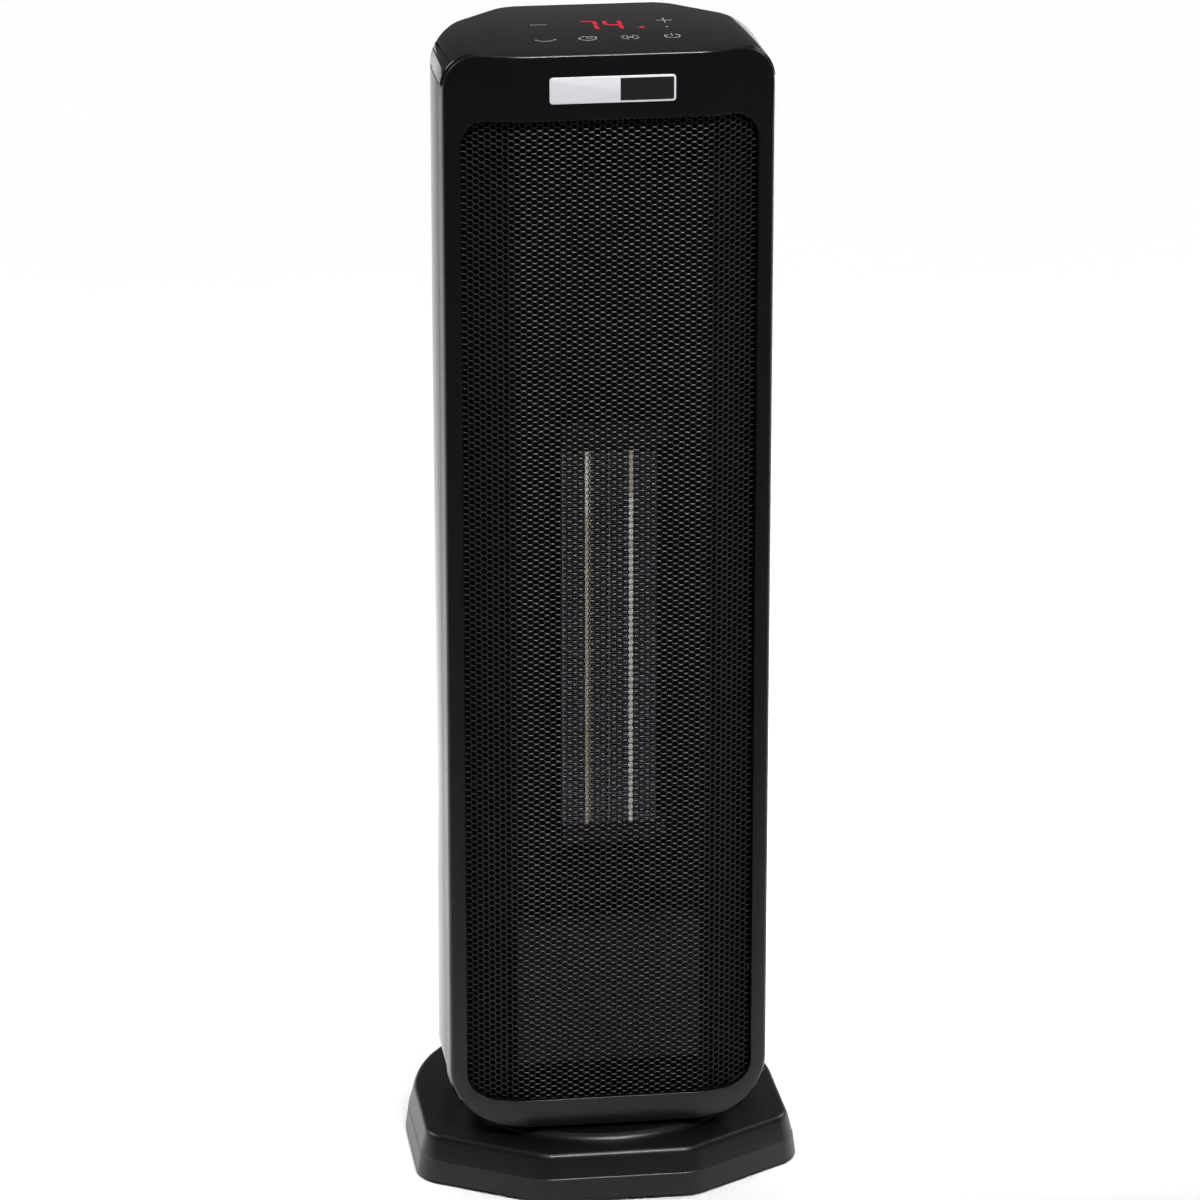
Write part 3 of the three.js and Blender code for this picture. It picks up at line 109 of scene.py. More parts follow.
class HeaterSizes(bpy.types.PropertyGroup):
    """Sizes of the visible pieces."""

    front_flat: length("Front flat", "Width of the flat middle of the front", 94)
    facet_depth: length("Facet depth", "How far the front facets fall back", 12.5)
    facet_softness: length("Facet softness", "Radius between the front flat and its facets", 26)
    side_flat: length("Side flat", "Depth of the flat side walls", 51)
    rear_flat: length("Rear flat", "Width of the flat back", 80)
    rear_softness: length("Rear softness", "Radius of the rear corners in plan", 17)
    top_corner: length("Top corner", "Radius of the top corners from the front", 18)
    frame_bottom_corner: length("Frame bottom corner", "Radius of the front plate's lower corners", 28)
    shell_bottom_corner: length("Shell bottom corner", "Radius of the shell's lower corners", 32)
    frame_wall: length("Frame wall", "Thickness of the front plate", 3)
    frame_edge: length("Frame edge", "Rounding of the front plate's outer edge", 2.6)
    frame_flare: length("Frame flare", "How much wider the plate is at its rear than at its face", 0.9)
    shell_wall: length("Shell wall", "Thickness of the rear shell", 2.5)
    cover_wall: length("Cover wall", "Thickness of the top cover", 3)
    fit_gap: length("Fit gap", "Clearance between neighbouring pieces", 0.3)
    opening_width: length("Opening width", "Width of the front opening", 145)
    opening_bottom: length("Opening bottom", "Border below the front opening", 15.5)
    opening_top: length("Opening top", "Border above the front opening", 32)
    opening_corner: length("Opening corner", "Corner radius of the front opening", 13)
    cell_pitch: length("Cell pitch", "Distance between grille holes in a column", 3.2)
    cell_web: length("Cell web", "Width of the metal between grille holes", 0.7)
    cell_crown: length("Cell crown", "How far the rim of a grille hole lies behind its web", 0.26)
    sheet: length("Sheet", "Thickness of the pierced sheet", 0.8)
    fold_pitch: length("Fold pitch", "Height of one fold of the heating fins", 1.9)
    base_front_flat: length("Base front flat", "Width of the base's flat front", 78)
    base_chamfer_depth: length("Base chamfer depth", "How far the base's front facets fall back", 37.5)
    base_side_depth: length("Base side depth", "Depth of the base's straight sides", 88.5)
    base_rear_flat: length("Base rear flat", "Width between the base's unswept rear corners", 137)
    base_softness: length("Base softness", "Radius of the base's front corners in plan", 18)
    base_side_sweep: share("Base side sweep", "Part of the rear slant that the side corner takes", 0.51)
    base_rear_sweep: share("Base rear sweep", "Part of the rear slant that the rear corner takes", 0.32)


class HeaterColours(bpy.types.PropertyGroup):
    """Colours of the finishes."""

    satin: colour("Satin black", "Front plate and base", (0.002, 0.0023, 0.003))
    gloss: colour("Gloss black", "Side shell and top cover", (0.0045, 0.0043, 0.004))
    grille: colour("Grille black", "Painted sheet", (0.0018, 0.0019, 0.0017))
    moulded: colour("Moulded black", "Rear and lower mouldings", (0.0075, 0.0075, 0.0078))
    # The inner black is darker than the moulded black: the mouldings' own black plus painted shade inside
    # the tower
    inner: colour("Inner black", "Mouldings behind the grille", (0.0014, 0.0014, 0.0014))
    rubber: colour("Rubber", "Feet and cord inlet", (0.012, 0.012, 0.012))
    fins: colour("Fins", "Folded metal of the heating element", (0.5, 0.55, 0.64))
    ceramic: colour("Ceramic", "Heating stones", (0.92, 0.89, 0.8))
    digits: colour("Digits", "Lit display", (0.32, 0.005, 0.018))
    marks: colour("Marks", "Printed touch marks", (0.3, 0.3, 0.29))
    floor: colour("Floor", "Floor and backdrop", (0.9, 0.9, 0.9))


def sizes():
    return bpy.context.scene.heater_sizes


# Working on one piece at a time


def object_mode():
    if bpy.context.object and bpy.context.object.mode != "OBJECT":
        bpy.ops.object.mode_set(mode="OBJECT")


def nothing_selected():
    object_mode()
    bpy.ops.object.select_all(action="DESELECT")


def only(piece):
    nothing_selected()
    piece.select_set(True)
    bpy.context.view_layer.objects.active = piece


def edit(piece):
    only(piece)
    bpy.ops.object.mode_set(mode="EDIT")


def applied(piece, **changes):
    """Puts the piece's place, turn and scale into its mesh, after these changes to them."""
    for key, value in changes.items():
        setattr(piece, key, value)
    only(piece)
    bpy.ops.object.transform_apply(location=True, rotation=True, scale=True)
    return piece


def named(name):
    """Names the primitive that was just added, and puts its place into its mesh."""
    piece = bpy.context.object
    piece.name = name
    piece.data.name = name
    return applied(piece)


def everything(kind=None):
    """Selects the whole piece in edit mode, as verts, edges or faces where that matters."""
    if kind:
        bpy.ops.mesh.select_mode(type=kind)
    bpy.ops.mesh.select_all(action="SELECT")


def choose(piece, kind, test):
    """Selects the verts, edges or faces of the piece in edit mode that pass a test."""
    bpy.ops.mesh.select_mode(type=kind)
    bpy.ops.mesh.select_all(action="DESELECT")
    form = bmesh.from_edit_mesh(piece.data)
    for item in {"VERT": form.verts, "EDGE": form.edges, "FACE": form.faces}[kind]:
        if test(item):
            item.select_set(True)
    form.select_flush_mode()
    bmesh.update_edit_mesh(piece.data)


def delete(piece, kind, test):
    """Takes away the verts or faces of the piece in edit mode that pass a test."""
    choose(piece, kind, test)
    bpy.ops.mesh.delete(type=kind)


def extrude(x=0.0, y=0.0, z=0.0):
    bpy.ops.mesh.extrude_region_move(TRANSFORM_OT_translate={"value": (x, y, z)})


def consistent():
    everything()
    bpy.ops.mesh.normals_make_consistent(inside=False)


def outward():
    """Joins doubled points and turns every face of a closed form out."""
    everything()
    bpy.ops.mesh.remove_doubles(threshold=0.002 * MM)
    bpy.ops.mesh.normals_make_consistent(inside=False)


def mended(piece):
    edit(piece)
    outward()
    object_mode()


def facing(piece, direction):
    """Turns all faces of an open sheet in edit mode to one side."""
    consistent()
    form = bmesh.from_edit_mesh(piece.data)
    towards = Vector(direction)
    if sum(face.normal.dot(towards) * face.calc_area() for face in form.faces) < 0:
        bpy.ops.mesh.flip_normals()


def opened(piece, *tests):
    """Takes away the faces of a closed piece whose middle passes a test."""
    edit(piece)
    outward()
    for test in tests:
        delete(piece, "FACE", lambda face: test(face.calc_center_median()))


def modifier(piece, kind, **values):
    """Adds one modifier with these settings and applies it."""
    only(piece)
    bpy.ops.object.modifier_add(type=kind)
    added = piece.modifiers[-1]
    for key, value in values.items():
        setattr(added, key, value)
    bpy.ops.object.modifier_apply(modifier=added.name)


def carve(piece, tool, operation="DIFFERENCE"):
    """Cuts, joins or intersects the piece with a tool, which is used up."""
    modifier(piece, "BOOLEAN", object=tool, operation=operation, solver="EXACT")
    bpy.data.objects.remove(tool)


def thicken(piece, thickness, even=False, offset=-1):
    modifier(piece, "SOLIDIFY", thickness=thickness, offset=offset, use_even_offset=even, use_rim=True)


def soften(piece, width, segments, angle=None, clamp=False, **settings):
    """Rounds every edge that bends by more than an angle in degrees, or that has been marked."""
    settings.update(width=width, segments=segments, limit_method="WEIGHT", use_clamp_overlap=clamp)
    if angle:
        settings.update(limit_method="ANGLE", angle_limit=math.radians(angle))
    modifier(piece, "BEVEL", **settings)


def repeated(piece, count, step, **settings):
    settings.update(use_relative_offset=False, use_constant_offset=True)
    modifier(piece, "ARRAY", count=count, constant_offset_displace=step, **settings)


def joined(first, *others):
    nothing_selected()
    for piece in (*others, first):
        piece.select_set(True)
    bpy.context.view_layer.objects.active = first
    bpy.ops.object.join()
    return first


def smooth(piece, degrees):
    only(piece)
    bpy.ops.object.shade_smooth_by_angle(angle=math.radians(degrees))


def belongs(piece, body, slot, finish_name, *nodes):
    """Names what the piece rides on, its finish, and the frame's node that it stands for."""
    object_mode()
    piece.data.materials.clear()
    piece.data.materials.append(finish(finish_name))
    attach(piece, body)
    if nodes:
        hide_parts(*nodes)


# Outlines, whose corners are (across, along, radius)


def outline(name, corners, steps, standing=False, level=0.0):
    """A flat face with these corners, each rounded by its own radius. Standing, it faces along Y."""
    nothing_selected()
    bpy.ops.mesh.primitive_circle_add(vertices=len(corners), radius=1.0, fill_type="NGON")
    piece = bpy.context.object
    piece.name = name
    edit(piece)
    spots = [Vector((across, along, 0.0)) for across, along, _ in corners]
    for place, spot in enumerate(spots):
        form = bmesh.from_edit_mesh(piece.data)
        form.verts.ensure_lookup_table()
        move = spot - form.verts[place].co
        choose(piece, "VERT", lambda vert: vert.index == place)
        bpy.ops.transform.translate(value=move)
    for place, spot in enumerate(spots):
        radius = corners[place][2]
        if radius <= 0:
            continue
        back = (spots[place - 1] - spot).normalized()
        ahead = (spots[(place + 1) % len(spots)] - spot).normalized()
        choose(piece, "VERT", lambda vert: (vert.co - spot).length < HAIR)
        reach = radius / math.tan(back.angle(ahead) / 2)
        bpy.ops.mesh.bevel(offset=reach, segments=steps, profile=0.5, affect="VERTICES")
    if standing:
        return applied(piece, rotation_euler=(math.pi / 2, 0, 0), location=(0, level, 0))
    return applied(piece, location=(0, 0, level))


def prism(name, corners, low, high, steps, standing=False):
    """An outline carried up from low to high, or back when it stands."""
    piece = outline(name, corners, steps, standing, low)
    edit(piece)
    everything()
    if standing:
        extrude(y=high - low)
    else:
        extrude(z=high - low)
    outward()
    object_mode()
    return piece


def rectangle(x0, x1, z0, z1, *radii):
    """Four corners with one radius for all, or with one for each."""
    places = ((x0, z0), (x1, z0), (x1, z1), (x0, z1))
    return [(*place, radii[number % len(radii)]) for number, place in enumerate(places)]


def both_sides(*right):
    """The corners of a right half and of its mirror image, from the first one on the left."""
    left = [(-across, along, radius) for across, along, radius in reversed(right)]
    return [left[-1], *right, *left[:-1]]


def rod(name, radius, start, end, x, other, sides=48, lying=False):
    """A cylinder that stands, with its axis at x and y, or lies front to back, at x and z."""
    halfway = (start + end) / 2
    place = (x, halfway, other) if lying else (x, other, halfway)
    turn = (math.pi / 2, 0, 0) if lying else (0, 0, 0)
    nothing_selected()
    bpy.ops.mesh.primitive_cylinder_add(
        vertices=sides, radius=radius, depth=end - start, location=place, rotation=turn
    )
    return named(name)


# The tower's forms


def face_slope():
    s = sizes()
    return s.facet_depth / (HALF_WIDTH - s.front_flat / 2)


def tower_prism(name, low, high, setback=0.0):
    """The tower in plan. A front set back keeps its distance from the face along the facets too."""
    s = sizes()
    face = FRONT_Y + setback
    side_rear = FRONT_Y + s.facet_depth + s.side_flat
    corners = both_sides(
        (s.front_flat / 2, face, s.facet_softness),
        (HALF_WIDTH, face + s.facet_depth, 0),
        (HALF_WIDTH, side_rear, s.rear_softness),
        (s.rear_flat / 2, REAR_Y, s.rear_softness),
    )
    return prism(name, corners, low, high, 12)


def front_view_prism(name, bottom_corner):
    """The tower seen from the front, carried back through its whole depth."""
    top = sizes().top_corner
    corners = rectangle(-HALF_WIDTH, HALF_WIDTH, UNDERSIDE, TOP, bottom_corner, bottom_corner, top, top)
    return prism(name, corners, -BEYOND, BEYOND, 16, True)


def laid_on_face(piece, setback):
    """Carries a flat standing piece back until it lies at a distance behind the curved face."""
    s = sizes()
    flat = s.front_flat / 2
    side = HALF_WIDTH + 10 * MM
    face = FRONT_Y + setback
    turn = face + face_slope() * (side - flat)
    corners = both_sides((flat, face, s.facet_softness), (side, turn, 0), (side, BEYOND, 0))
    guide = prism("face_guide", corners, -50 * MM, TOP + 50 * MM, 14)
    modifier(piece, "SHRINKWRAP", target=guide, wrap_method="PROJECT", use_project_y=True)
    bpy.data.objects.remove(guide)


def opening_box(grow=0.0):
    s = sizes()
    half = s.opening_width / 2 + grow
    low = UNDERSIDE + s.opening_bottom - grow
    high = TOP - s.opening_top + grow
    return rectangle(-half, half, low, high, s.opening_corner + grow)


def frame_screws():
    """Where the screws of the front frame run: x, z and the end of the head."""
    for number in range(1, 5):
        low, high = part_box(f"frame_screw_{number}")
        yield (low.x + high.x) / 2, (low.z + high.z) / 2, high.y


# Front plate


class HEATER_OT_front_frame(bpy.types.Operator):
    """Model the rounded front plate with its narrow return"""

    bl_idname = "heater.front_frame"
    bl_label = "Front plate"

    def execute(self, context):
        s = sizes()
        half = HALF_WIDTH - s.frame_flare
        low = UNDERSIDE + s.frame_flare
        radii = (s.frame_bottom_corner, s.frame_bottom_corner, s.top_corner, s.top_corner)
        plate = outline("front_plate", rectangle(-half, half, low, TOP, *radii), 14, True, -BEYOND)
        joined(plate, outline("window", opening_box(), 14, True, -BEYOND))
        edit(plate)
        everything("FACE")
        bpy.ops.mesh.delete(type="ONLY_FACE")
        everything("EDGE")
        bpy.ops.mesh.bridge_edge_loops()
        self.cut_lines(plate)
        laid_on_face(plate, 0.0)
        edit(plate)
        facing(plate, (0, -1, 0))
        self.add_return(plate, half)
        thicken(plate, s.frame_wall, even=True)
        self.weigh_edges(plate)
        soften(plate, s.frame_edge, 5, miter_outer="MITER_ARC")
        joined(plate, *self.bosses())
        smooth(plate, 30)
        belongs(plate, "tower", "satin_black", "satin_black", "front_frame")
        return {"FINISHED"}

    def cut_lines(self, plate):
        """Cuts the flat plate where it will bend, and near its top corners."""
        s = sizes()
        flat = s.front_flat / 2
        soft = s.facet_softness * math.tan(math.atan(face_slope()) / 2)
        bends = [0.0]
        for side in (-1, 1):
            bends += [side * (flat + soft * quarter / 4) for quarter in range(-4, 5)]
        planes = [((x, 0, 0), (1, 0, 0)) for x in bends]
        planes += [((0, 0, SEAM - drop * MM), (0, 0, 1)) for drop in (0, 8, 16, 24)]
        for place, normal in planes:
            everything()
            bpy.ops.mesh.bisect(plane_co=place, plane_no=normal)

    def add_return(self, plate, half):
        """Carries the outer edge back to the parting line, a little wider than the face."""
        s = sizes()
        inner = s.opening_width / 2 + 1 * MM

        def outer_edge(edge):
            spot = (edge.verts[0].co + edge.verts[1].co) / 2
            outside = abs(spot.x) > inner or spot.z < UNDERSIDE + 10 * MM
            return len(edge.link_faces) == 1 and outside and spot.z < SEAM

        choose(plate, "EDGE", outer_edge)
        extrude(y=5 * MM)
        widen = HALF_WIDTH / half
        deepen = (TOP - UNDERSIDE) / (TOP - UNDERSIDE - s.frame_flare)
        bpy.ops.transform.resize(value=(widen, 0, deepen), center_override=(0, PARTING_Y, TOP))

    def weigh_edges(self, plate):
        """Marks which edges are rounded, and how much of the full rounding each gets."""
        window_share = 0.14
        plain_share = 0.38
        fade = 24 * MM
        edit(plate)
        form = bmesh.from_edit_mesh(plate.data)
        weights = form.edges.layers.float.get("bevel_weight_edge")
        if weights is None:
            weights = form.edges.layers.float.new("bevel_weight_edge")
        slope = face_slope()
        flat = sizes().front_flat / 2
        window_x = sizes().opening_width / 2 + 0.2 * MM
        for edge in form.edges:
            edge[weights] = 0.0
            if len(edge.link_faces) != 2:
                continue
            start, end = (vert.co for vert in edge.verts)
            spot = (start + end) / 2
            face_y = FRONT_Y + slope * max(0.0, abs(spot.x) - flat)
            front = abs(spot.y - face_y) < 0.8 * MM
            if not front or edge.calc_face_angle(0) < math.radians(40):
                continue
            if abs(spot.x) < window_x and UNDERSIDE + 12 * MM < spot.z < TOP - 25 * MM:
                edge[weights] = window_share
            elif spot.z > SEAM + 0.1 * MM or abs(spot.x) < HALF_WIDTH - 20 * MM:
                edge[weights] = plain_share
            else:
                upright = abs((end - start).normalized().z)
                below_seam = min(1.0, (SEAM - spot.z) / fade)
                edge[weights] = plain_share + (1 - plain_share) * upright**2 * below_seam
        bmesh.update_edit_mesh(plate.data)
        object_mode()

    def bosses(self):
        s = sizes()
        for x, z, _ in frame_screws():
            face = FRONT_Y + s.frame_wall * 2 + face_slope() * max(0.0, abs(x) - s.front_flat / 2)
            yield rod("boss", 3 * MM, face - 2.5 * MM, PARTING_Y, x, z, 24, True)


# Pierced sheet


class HEATER_OT_grille(bpy.types.Operator):
    """Model one six-sided hole and repeat it over the front opening"""

    bl_idname = "heater.grille"
    bl_label = "Pierced sheet"

    def execute(self, context):
        s = sizes()
        pitch = s.cell_pitch
        across = pitch * math.sqrt(3) / 2
        corners = opening_box(0.4 * MM)
        half = corners[1][0]
        low = corners[0][1]
        high = corners[2][1]
        columns = int(half / across) + 1
        rows = int((high - low) / pitch) + 2
        sheet = self.cell(pitch / math.sqrt(3), s.cell_web / 2)
        repeated(sheet, rows, (0, 0, pitch))
        repeated(sheet, 2, (across, 0, pitch / 2))
        repeated(sheet, columns, (across * 2, 0, 0))
        applied(sheet, location=(-across * (columns - 0.5), -BEYOND, low - pitch / 2))
        self.trim(sheet, half, low, high, corners[0][2])
        laid_on_face(sheet, s.frame_wall + s.fit_gap)
        edit(sheet)
        facing(sheet, (0, -1, 0))
        choose(sheet, "VERT", lambda vert: False)
        bpy.ops.object.vertex_group_select()
        bpy.ops.transform.translate(value=(0, s.cell_crown, 0))
        centre = (low + high) / 2
        choose(sheet, "FACE", lambda face: face.calc_center_median().z > centre)
        bpy.ops.mesh.separate(type="SELECTED")
        object_mode()
        upper = [piece for piece in bpy.context.selected_objects if piece is not sheet][0]
        upper.name = "grille_sheet_upper"
        sheet.name = "grille_sheet_lower"
        for piece in (sheet, upper):
            piece.vertex_groups.clear()
            thicken(piece, s.sheet)
            smooth(piece, 30)
            belongs(piece, "tower", "grille_black", "grille_black")
        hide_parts("front_grille")
        return {"FINISHED"}

    def cell(self, outer, web):
        """One hole with its web, standing. The edge of the hole is kept as a group."""
        nothing_selected()
        turn = (0, 0, math.pi / 6)
        bpy.ops.mesh.primitive_circle_add(vertices=6, radius=outer, fill_type="NGON", rotation=turn)
        sheet = named("grille_sheet")
        edit(sheet)
        choose(sheet, "FACE", lambda face: True)
        bpy.ops.mesh.inset(thickness=web)
        sheet.vertex_groups.new(name="rim")
        bpy.ops.object.vertex_group_assign()
        bpy.ops.mesh.delete(type="ONLY_FACE")
        return applied(sheet, rotation_euler=(math.pi / 2, 0, 0))

    def trim(self, sheet, half, low, high, corner):
        """Leaves whole cells only, those whose middle lies in the opening, and joins them."""
        edit(sheet)
        form = bmesh.from_edit_mesh(sheet.data)
        form.faces.ensure_lookup_table()
        sides = 6
        kept = set()
        for first in range(0, len(form.faces), sides):
            cell = form.faces[first : first + sides]
            centre = sum((face.calc_center_median() for face in cell), Vector()) / sides
            x = abs(centre.x)
            z = centre.z
            dx = x - (half - corner)
            dz = max(low + corner - z, z - (high - corner))
            inside = x < half and low < z < high
            if dx > 0 and dz > 0:
                inside = math.hypot(dx, dz) < corner
            if inside:
                kept.update(range(first, first + sides))
        delete(sheet, "FACE", lambda face: face.index not in kept)
        delete(sheet, "VERT", lambda vert: not vert.link_faces)
        everything()
        bpy.ops.mesh.remove_doubles(threshold=0.02 * MM)
        object_mode()


# Side and rear shell


class HEATER_OT_side_shell(bpy.types.Operator):
    """Model the glossy side and rear shell with its pocket, intake seat and screw tunnels"""

    bl_idname = "heater.side_shell"
    bl_label = "Side shell"

    def execute(self, context):
        s = sizes()
        front = SHELL_LOW.y
        shell = tower_prism("side_shell", UNDERSIDE - PAST, SEAM)
        carve(shell, front_view_prism("shell_outline", s.shell_bottom_corner), "INTERSECT")
        nothing_selected()
        centre = (0, (front - BEYOND) / 2, (1 - BEYOND) / 2)
        span = (2 * BEYOND, front + BEYOND, 1 + BEYOND)
        bpy.ops.mesh.primitive_cube_add(size=1.0, location=centre, scale=span)
        carve(shell, named("cut_away"))
        opened(shell, lambda spot: spot.y < front + HAIR, lambda spot: spot.z > SEAM - HAIR)
        thicken(shell, s.shell_wall, even=True)
        self.add_pocket(shell)
        self.add_intake_seat(shell)
        self.add_tunnels(shell)
        carve(shell, rod("hub", HUB_HOLE, 0, UNDERSIDE + 10 * MM, 0, 0))
        mended(shell)
        soften(shell, 0.45 * MM, 2, 48, True, miter_outer="MITER_ARC")
        smooth(shell, 35)
        belongs(shell, "tower", "gloss_black", "gloss_black", "rear_housing")
        return {"FINISHED"}

    def add_inside(self, shell, piece):
        """Joins a piece to the shell, trimmed to the tower's own rear surface."""
        carve(piece, tower_prism("body", UNDERSIDE, SEAM), "INTERSECT")
        carve(shell, piece, "UNION")

    def add_pocket(self, shell):
        half = 37 * MM
        low = 462 * MM
        high = 496 * MM
        floor = REAR_Y - 22 * MM
        corner = 8 * MM
        wall = sizes().shell_wall
        grown = rectangle(-half - wall, half + wall, low - wall, high + wall, corner + wall)
        self.add_inside(shell, prism("pocket_walls", grown, floor - wall, REAR_Y + 1 * MM, 8, True))
        hollow = rectangle(-half, half, low, high, corner)
        carve(shell, prism("pocket", hollow, floor, BEHIND, 8, True))

    def add_intake_seat(self, shell):
        gap = sizes().fit_gap
        wall = sizes().shell_wall
        ledge = 3 * MM
        x = INTAKE_HIGH.x + gap
        low = INTAKE_LOW.z - gap
        high = INTAKE_HIGH.z + gap
        back = INTAKE_LOW.y - gap

        def grown(amount):
            return rectangle(-x - amount, x + amount, low - amount, high + amount, 0)

        self.add_inside(shell, prism("ring", grown(wall), back - ledge, REAR_Y + 1 * MM, 1, True))
        carve(shell, prism("hole", grown(-ledge), 0.0, BEHIND, 1, True))
        carve(shell, prism("seat", grown(0), back, BEHIND, 1, True))

    def add_tunnels(self, shell):
        head = 2.9 * MM + sizes().fit_gap
        for x, z, head_end in frame_screws():
            self.add_inside(shell, rod("tunnel", head + 1.8 * MM, SHELL_LOW.y, REAR_Y, x, z, 40, True))
            carve(shell, rod("bore", head, head_end - 1.9 * MM, BEHIND, x, z, 40, True))


# Top cover


class HEATER_OT_top_cover(bpy.types.Operator):
    """Model the glossy cap behind the front plate"""

    bl_idname = "heater.top_cover"
    bl_label = "Top cover"

    def execute(self, context):
        s = sizes()
        cover = tower_prism("cap", SEAM, TOP + PAST, s.frame_wall + s.fit_gap)
        carve(cover, front_view_prism("cover_outline", s.frame_bottom_corner), "INTERSECT")
        opened(cover, lambda spot: spot.z < SEAM + HAIR)
        thicken(cover, s.cover_wall, even=True)
        mended(cover)
        soften(cover, 1.1 * MM, 4, 40, miter_outer="MITER_ARC")
        smooth(cover, 35)
        belongs(cover, "tower", "gloss_black", "gloss_top", "top_cover")
        return {"FINISHED"}


# Touch marks, measured in millimetres


def ring_mark(name, x, y, radius, start=0, end=360):
    """A printed ring, or the part of it between two angles in degrees."""
    nothing_selected()
    bpy.ops.mesh.primitive_circle_add(vertices=48, radius=radius * MM, fill_type="NOTHING")
    mark = bpy.context.object
    mark.name = name
    edit(mark)
    everything()
    bpy.ops.mesh.extrude_edges_move()
    inner = (radius - THIN) / radius
    bpy.ops.transform.resize(value=(inner, inner, 1), center_override=(0, 0, 0))
    if end - start < 360:

        def outside(face):
            spot = face.calc_center_median()
            angle = math.degrees(math.atan2(spot.y, spot.x)) % 360
            return not start <= angle <= end

        delete(mark, "FACE", outside)
    everything()
    extrude(z=INK)
    consistent()
    return applied(mark, location=(x * MM, y * MM, INK_LEVEL))


def flat_mark(name, x, y, corners, steps, turn):
    mark = prism(name, corners, 0.0, INK, steps)
    return applied(mark, rotation_euler=(0, 0, math.radians(turn)), location=(x * MM, y * MM, INK_LEVEL))


def line_mark(name, x, y, long, turn=0):
    """A printed stroke with softened ends."""
    half = long / 2 * MM
    side = THIN / 2 * MM
    return flat_mark(name, x, y, rectangle(-half, half, -side, side, THIN * 0.45 * MM), 3, turn)


def segment_mark(name, x, y, long, width, turn):
    """One bar of a seven-segment digit, pointed at both ends."""
    half = long / 2 * MM
    side = width / 2 * MM
    soft = 0.15 * MM
    lower = [(-half, 0, soft), (-half + side, -side, soft), (half - side, -side, soft)]
    upper = [(half, 0, soft), (half - side, side, soft), (-half + side, side, soft)]
    return flat_mark(name, x, y, lower + upper, 2, turn)


def dot_mark(name, x, y, radius, sides=16):
    return rod(name, radius * MM, INK_LEVEL, INK_LEVEL + INK, x * MM, y * MM, sides)


class HEATER_OT_touch_marks(bpy.types.Operator):
    """Lay the printed symbols and the lit digits on the cap"""

    bl_idname = "heater.touch_marks"
    bl_label = "Touch marks"

    def execute(self, context):
        row = -26.4
        swing, clock, mode, power = -28, -7.4, 13.3, 33.9
        plus = (34.6, 7.6)
        marks = [ring_mark("swing_arc", swing, row + 1.4, 5.1, 206, 334)]
        marks += [dot_mark("swing_end", swing + side * 4.4, row - 0.7, 0.8) for side in (-1, 1)]
        marks.append(ring_mark("clock_ring", clock, row, 4.5))
        marks.append(line_mark("clock_hand_long", clock, row + 1.3, 2.8, 90))
        marks.append(line_mark("clock_hand_short", clock + 1.1, row, 2.6))
        marks += [ring_mark("mode_ring", mode, row, 4.5, start, start + 60) for start in (15, 105, 195, 285)]
        marks += [line_mark("mode_bar", mode + step * 1.25, row, 3.4, 90) for step in (-1, 0, 1)]
        marks += [ring_mark("power_ring", power, row, 4.0, *part) for part in ((115, 359), (0, 65))]
        marks.append(line_mark("power_line", power, row + 2.6, 4.4, 90))
        marks.append(line_mark("minus", -27.3, 5.5, 8.2))
        marks.append(line_mark("plus_across", *plus, 8.2))
        marks.append(line_mark("plus_along", *plus, 9.6, 90))
        marks.append(dot_mark("dim_pilot", 34.1, -6.5, 0.6))
        self.lay(marks, "touch_marks", "badge_silver", "printed_mark")
        self.lay(self.digits(), "lit_digits", "display_red", "lit_red")
        return {"FINISHED"}

    def lay(self, marks, name, slot, finish_name):
        laid = joined(*marks)
        laid.name = name
        belongs(laid, "tower", slot, finish_name)

    def digits(self):
        """The number 74 in lit bars, and its small pilot lamp."""
        wide = 7.2
        tall = 17.8
        stroke = 2.0
        gap = 0.4
        lean = 0.03
        centre_y = 1
        bars = {
            "a": (0, tall / 2, wide, 0),
            "b": (wide / 2, tall / 4, tall / 2, 90),
            "c": (wide / 2, -tall / 4, tall / 2, 90),
            "f": (-wide / 2, tall / 4, tall / 2, 90),
            "g": (0, 0, wide, 0),
        }
        for number, x, shown in (("7", -3.4, "abc"), ("4", 8.7, "fgbc")):
            for key in shown:
                dx, dy, long, turn = bars[key]
                spot = (x + dx + lean * dy, centre_y + dy)
                yield segment_mark(f"digit_{number}", *spot, long - gap, stroke, turn)
        yield dot_mark("pilot", 21.9, -5.7, 1.4, 24)


# Badge plate


class HEATER_OT_badge(bpy.types.Operator):
    """Model the plain two-tone plate above the grille"""

    bl_idname = "heater.badge"
    bl_label = "Badge plate"

    def execute(self, context):
        x0, x1 = BADGE_LOW.x, BADGE_HIGH.x
        z0, z1 = BADGE_LOW.z, BADGE_HIGH.z
        face = BADGE_LOW.y
        whole = rectangle(x0, x1, z0, z1, 1.6 * MM)
        plate = prism("plain_plate", whole, face, BADGE_HIGH.y + 0.05 * MM, 6, True)
        soften(plate, 0.18 * MM, 3, 50, True)
        smooth(plate, 40)
        belongs(plate, "tower", "badge_silver", "badge_white", "badge_plate")
        border = 1.0 * MM
        dark_start = x0 + (x1 - x0) * 0.56
        radii = (0.1 * MM, 0.8 * MM, 0.8 * MM, 0.1 * MM)
        dark = rectangle(dark_start, x1 - border, z0 + border, z1 - border, *radii)
        field = prism("plate_field", dark, face - 0.05 * MM, face + 0.1 * MM, 5, True)
        belongs(field, "tower", "satin_black", "badge_dark")
        return {"FINISHED"}


# Base cover


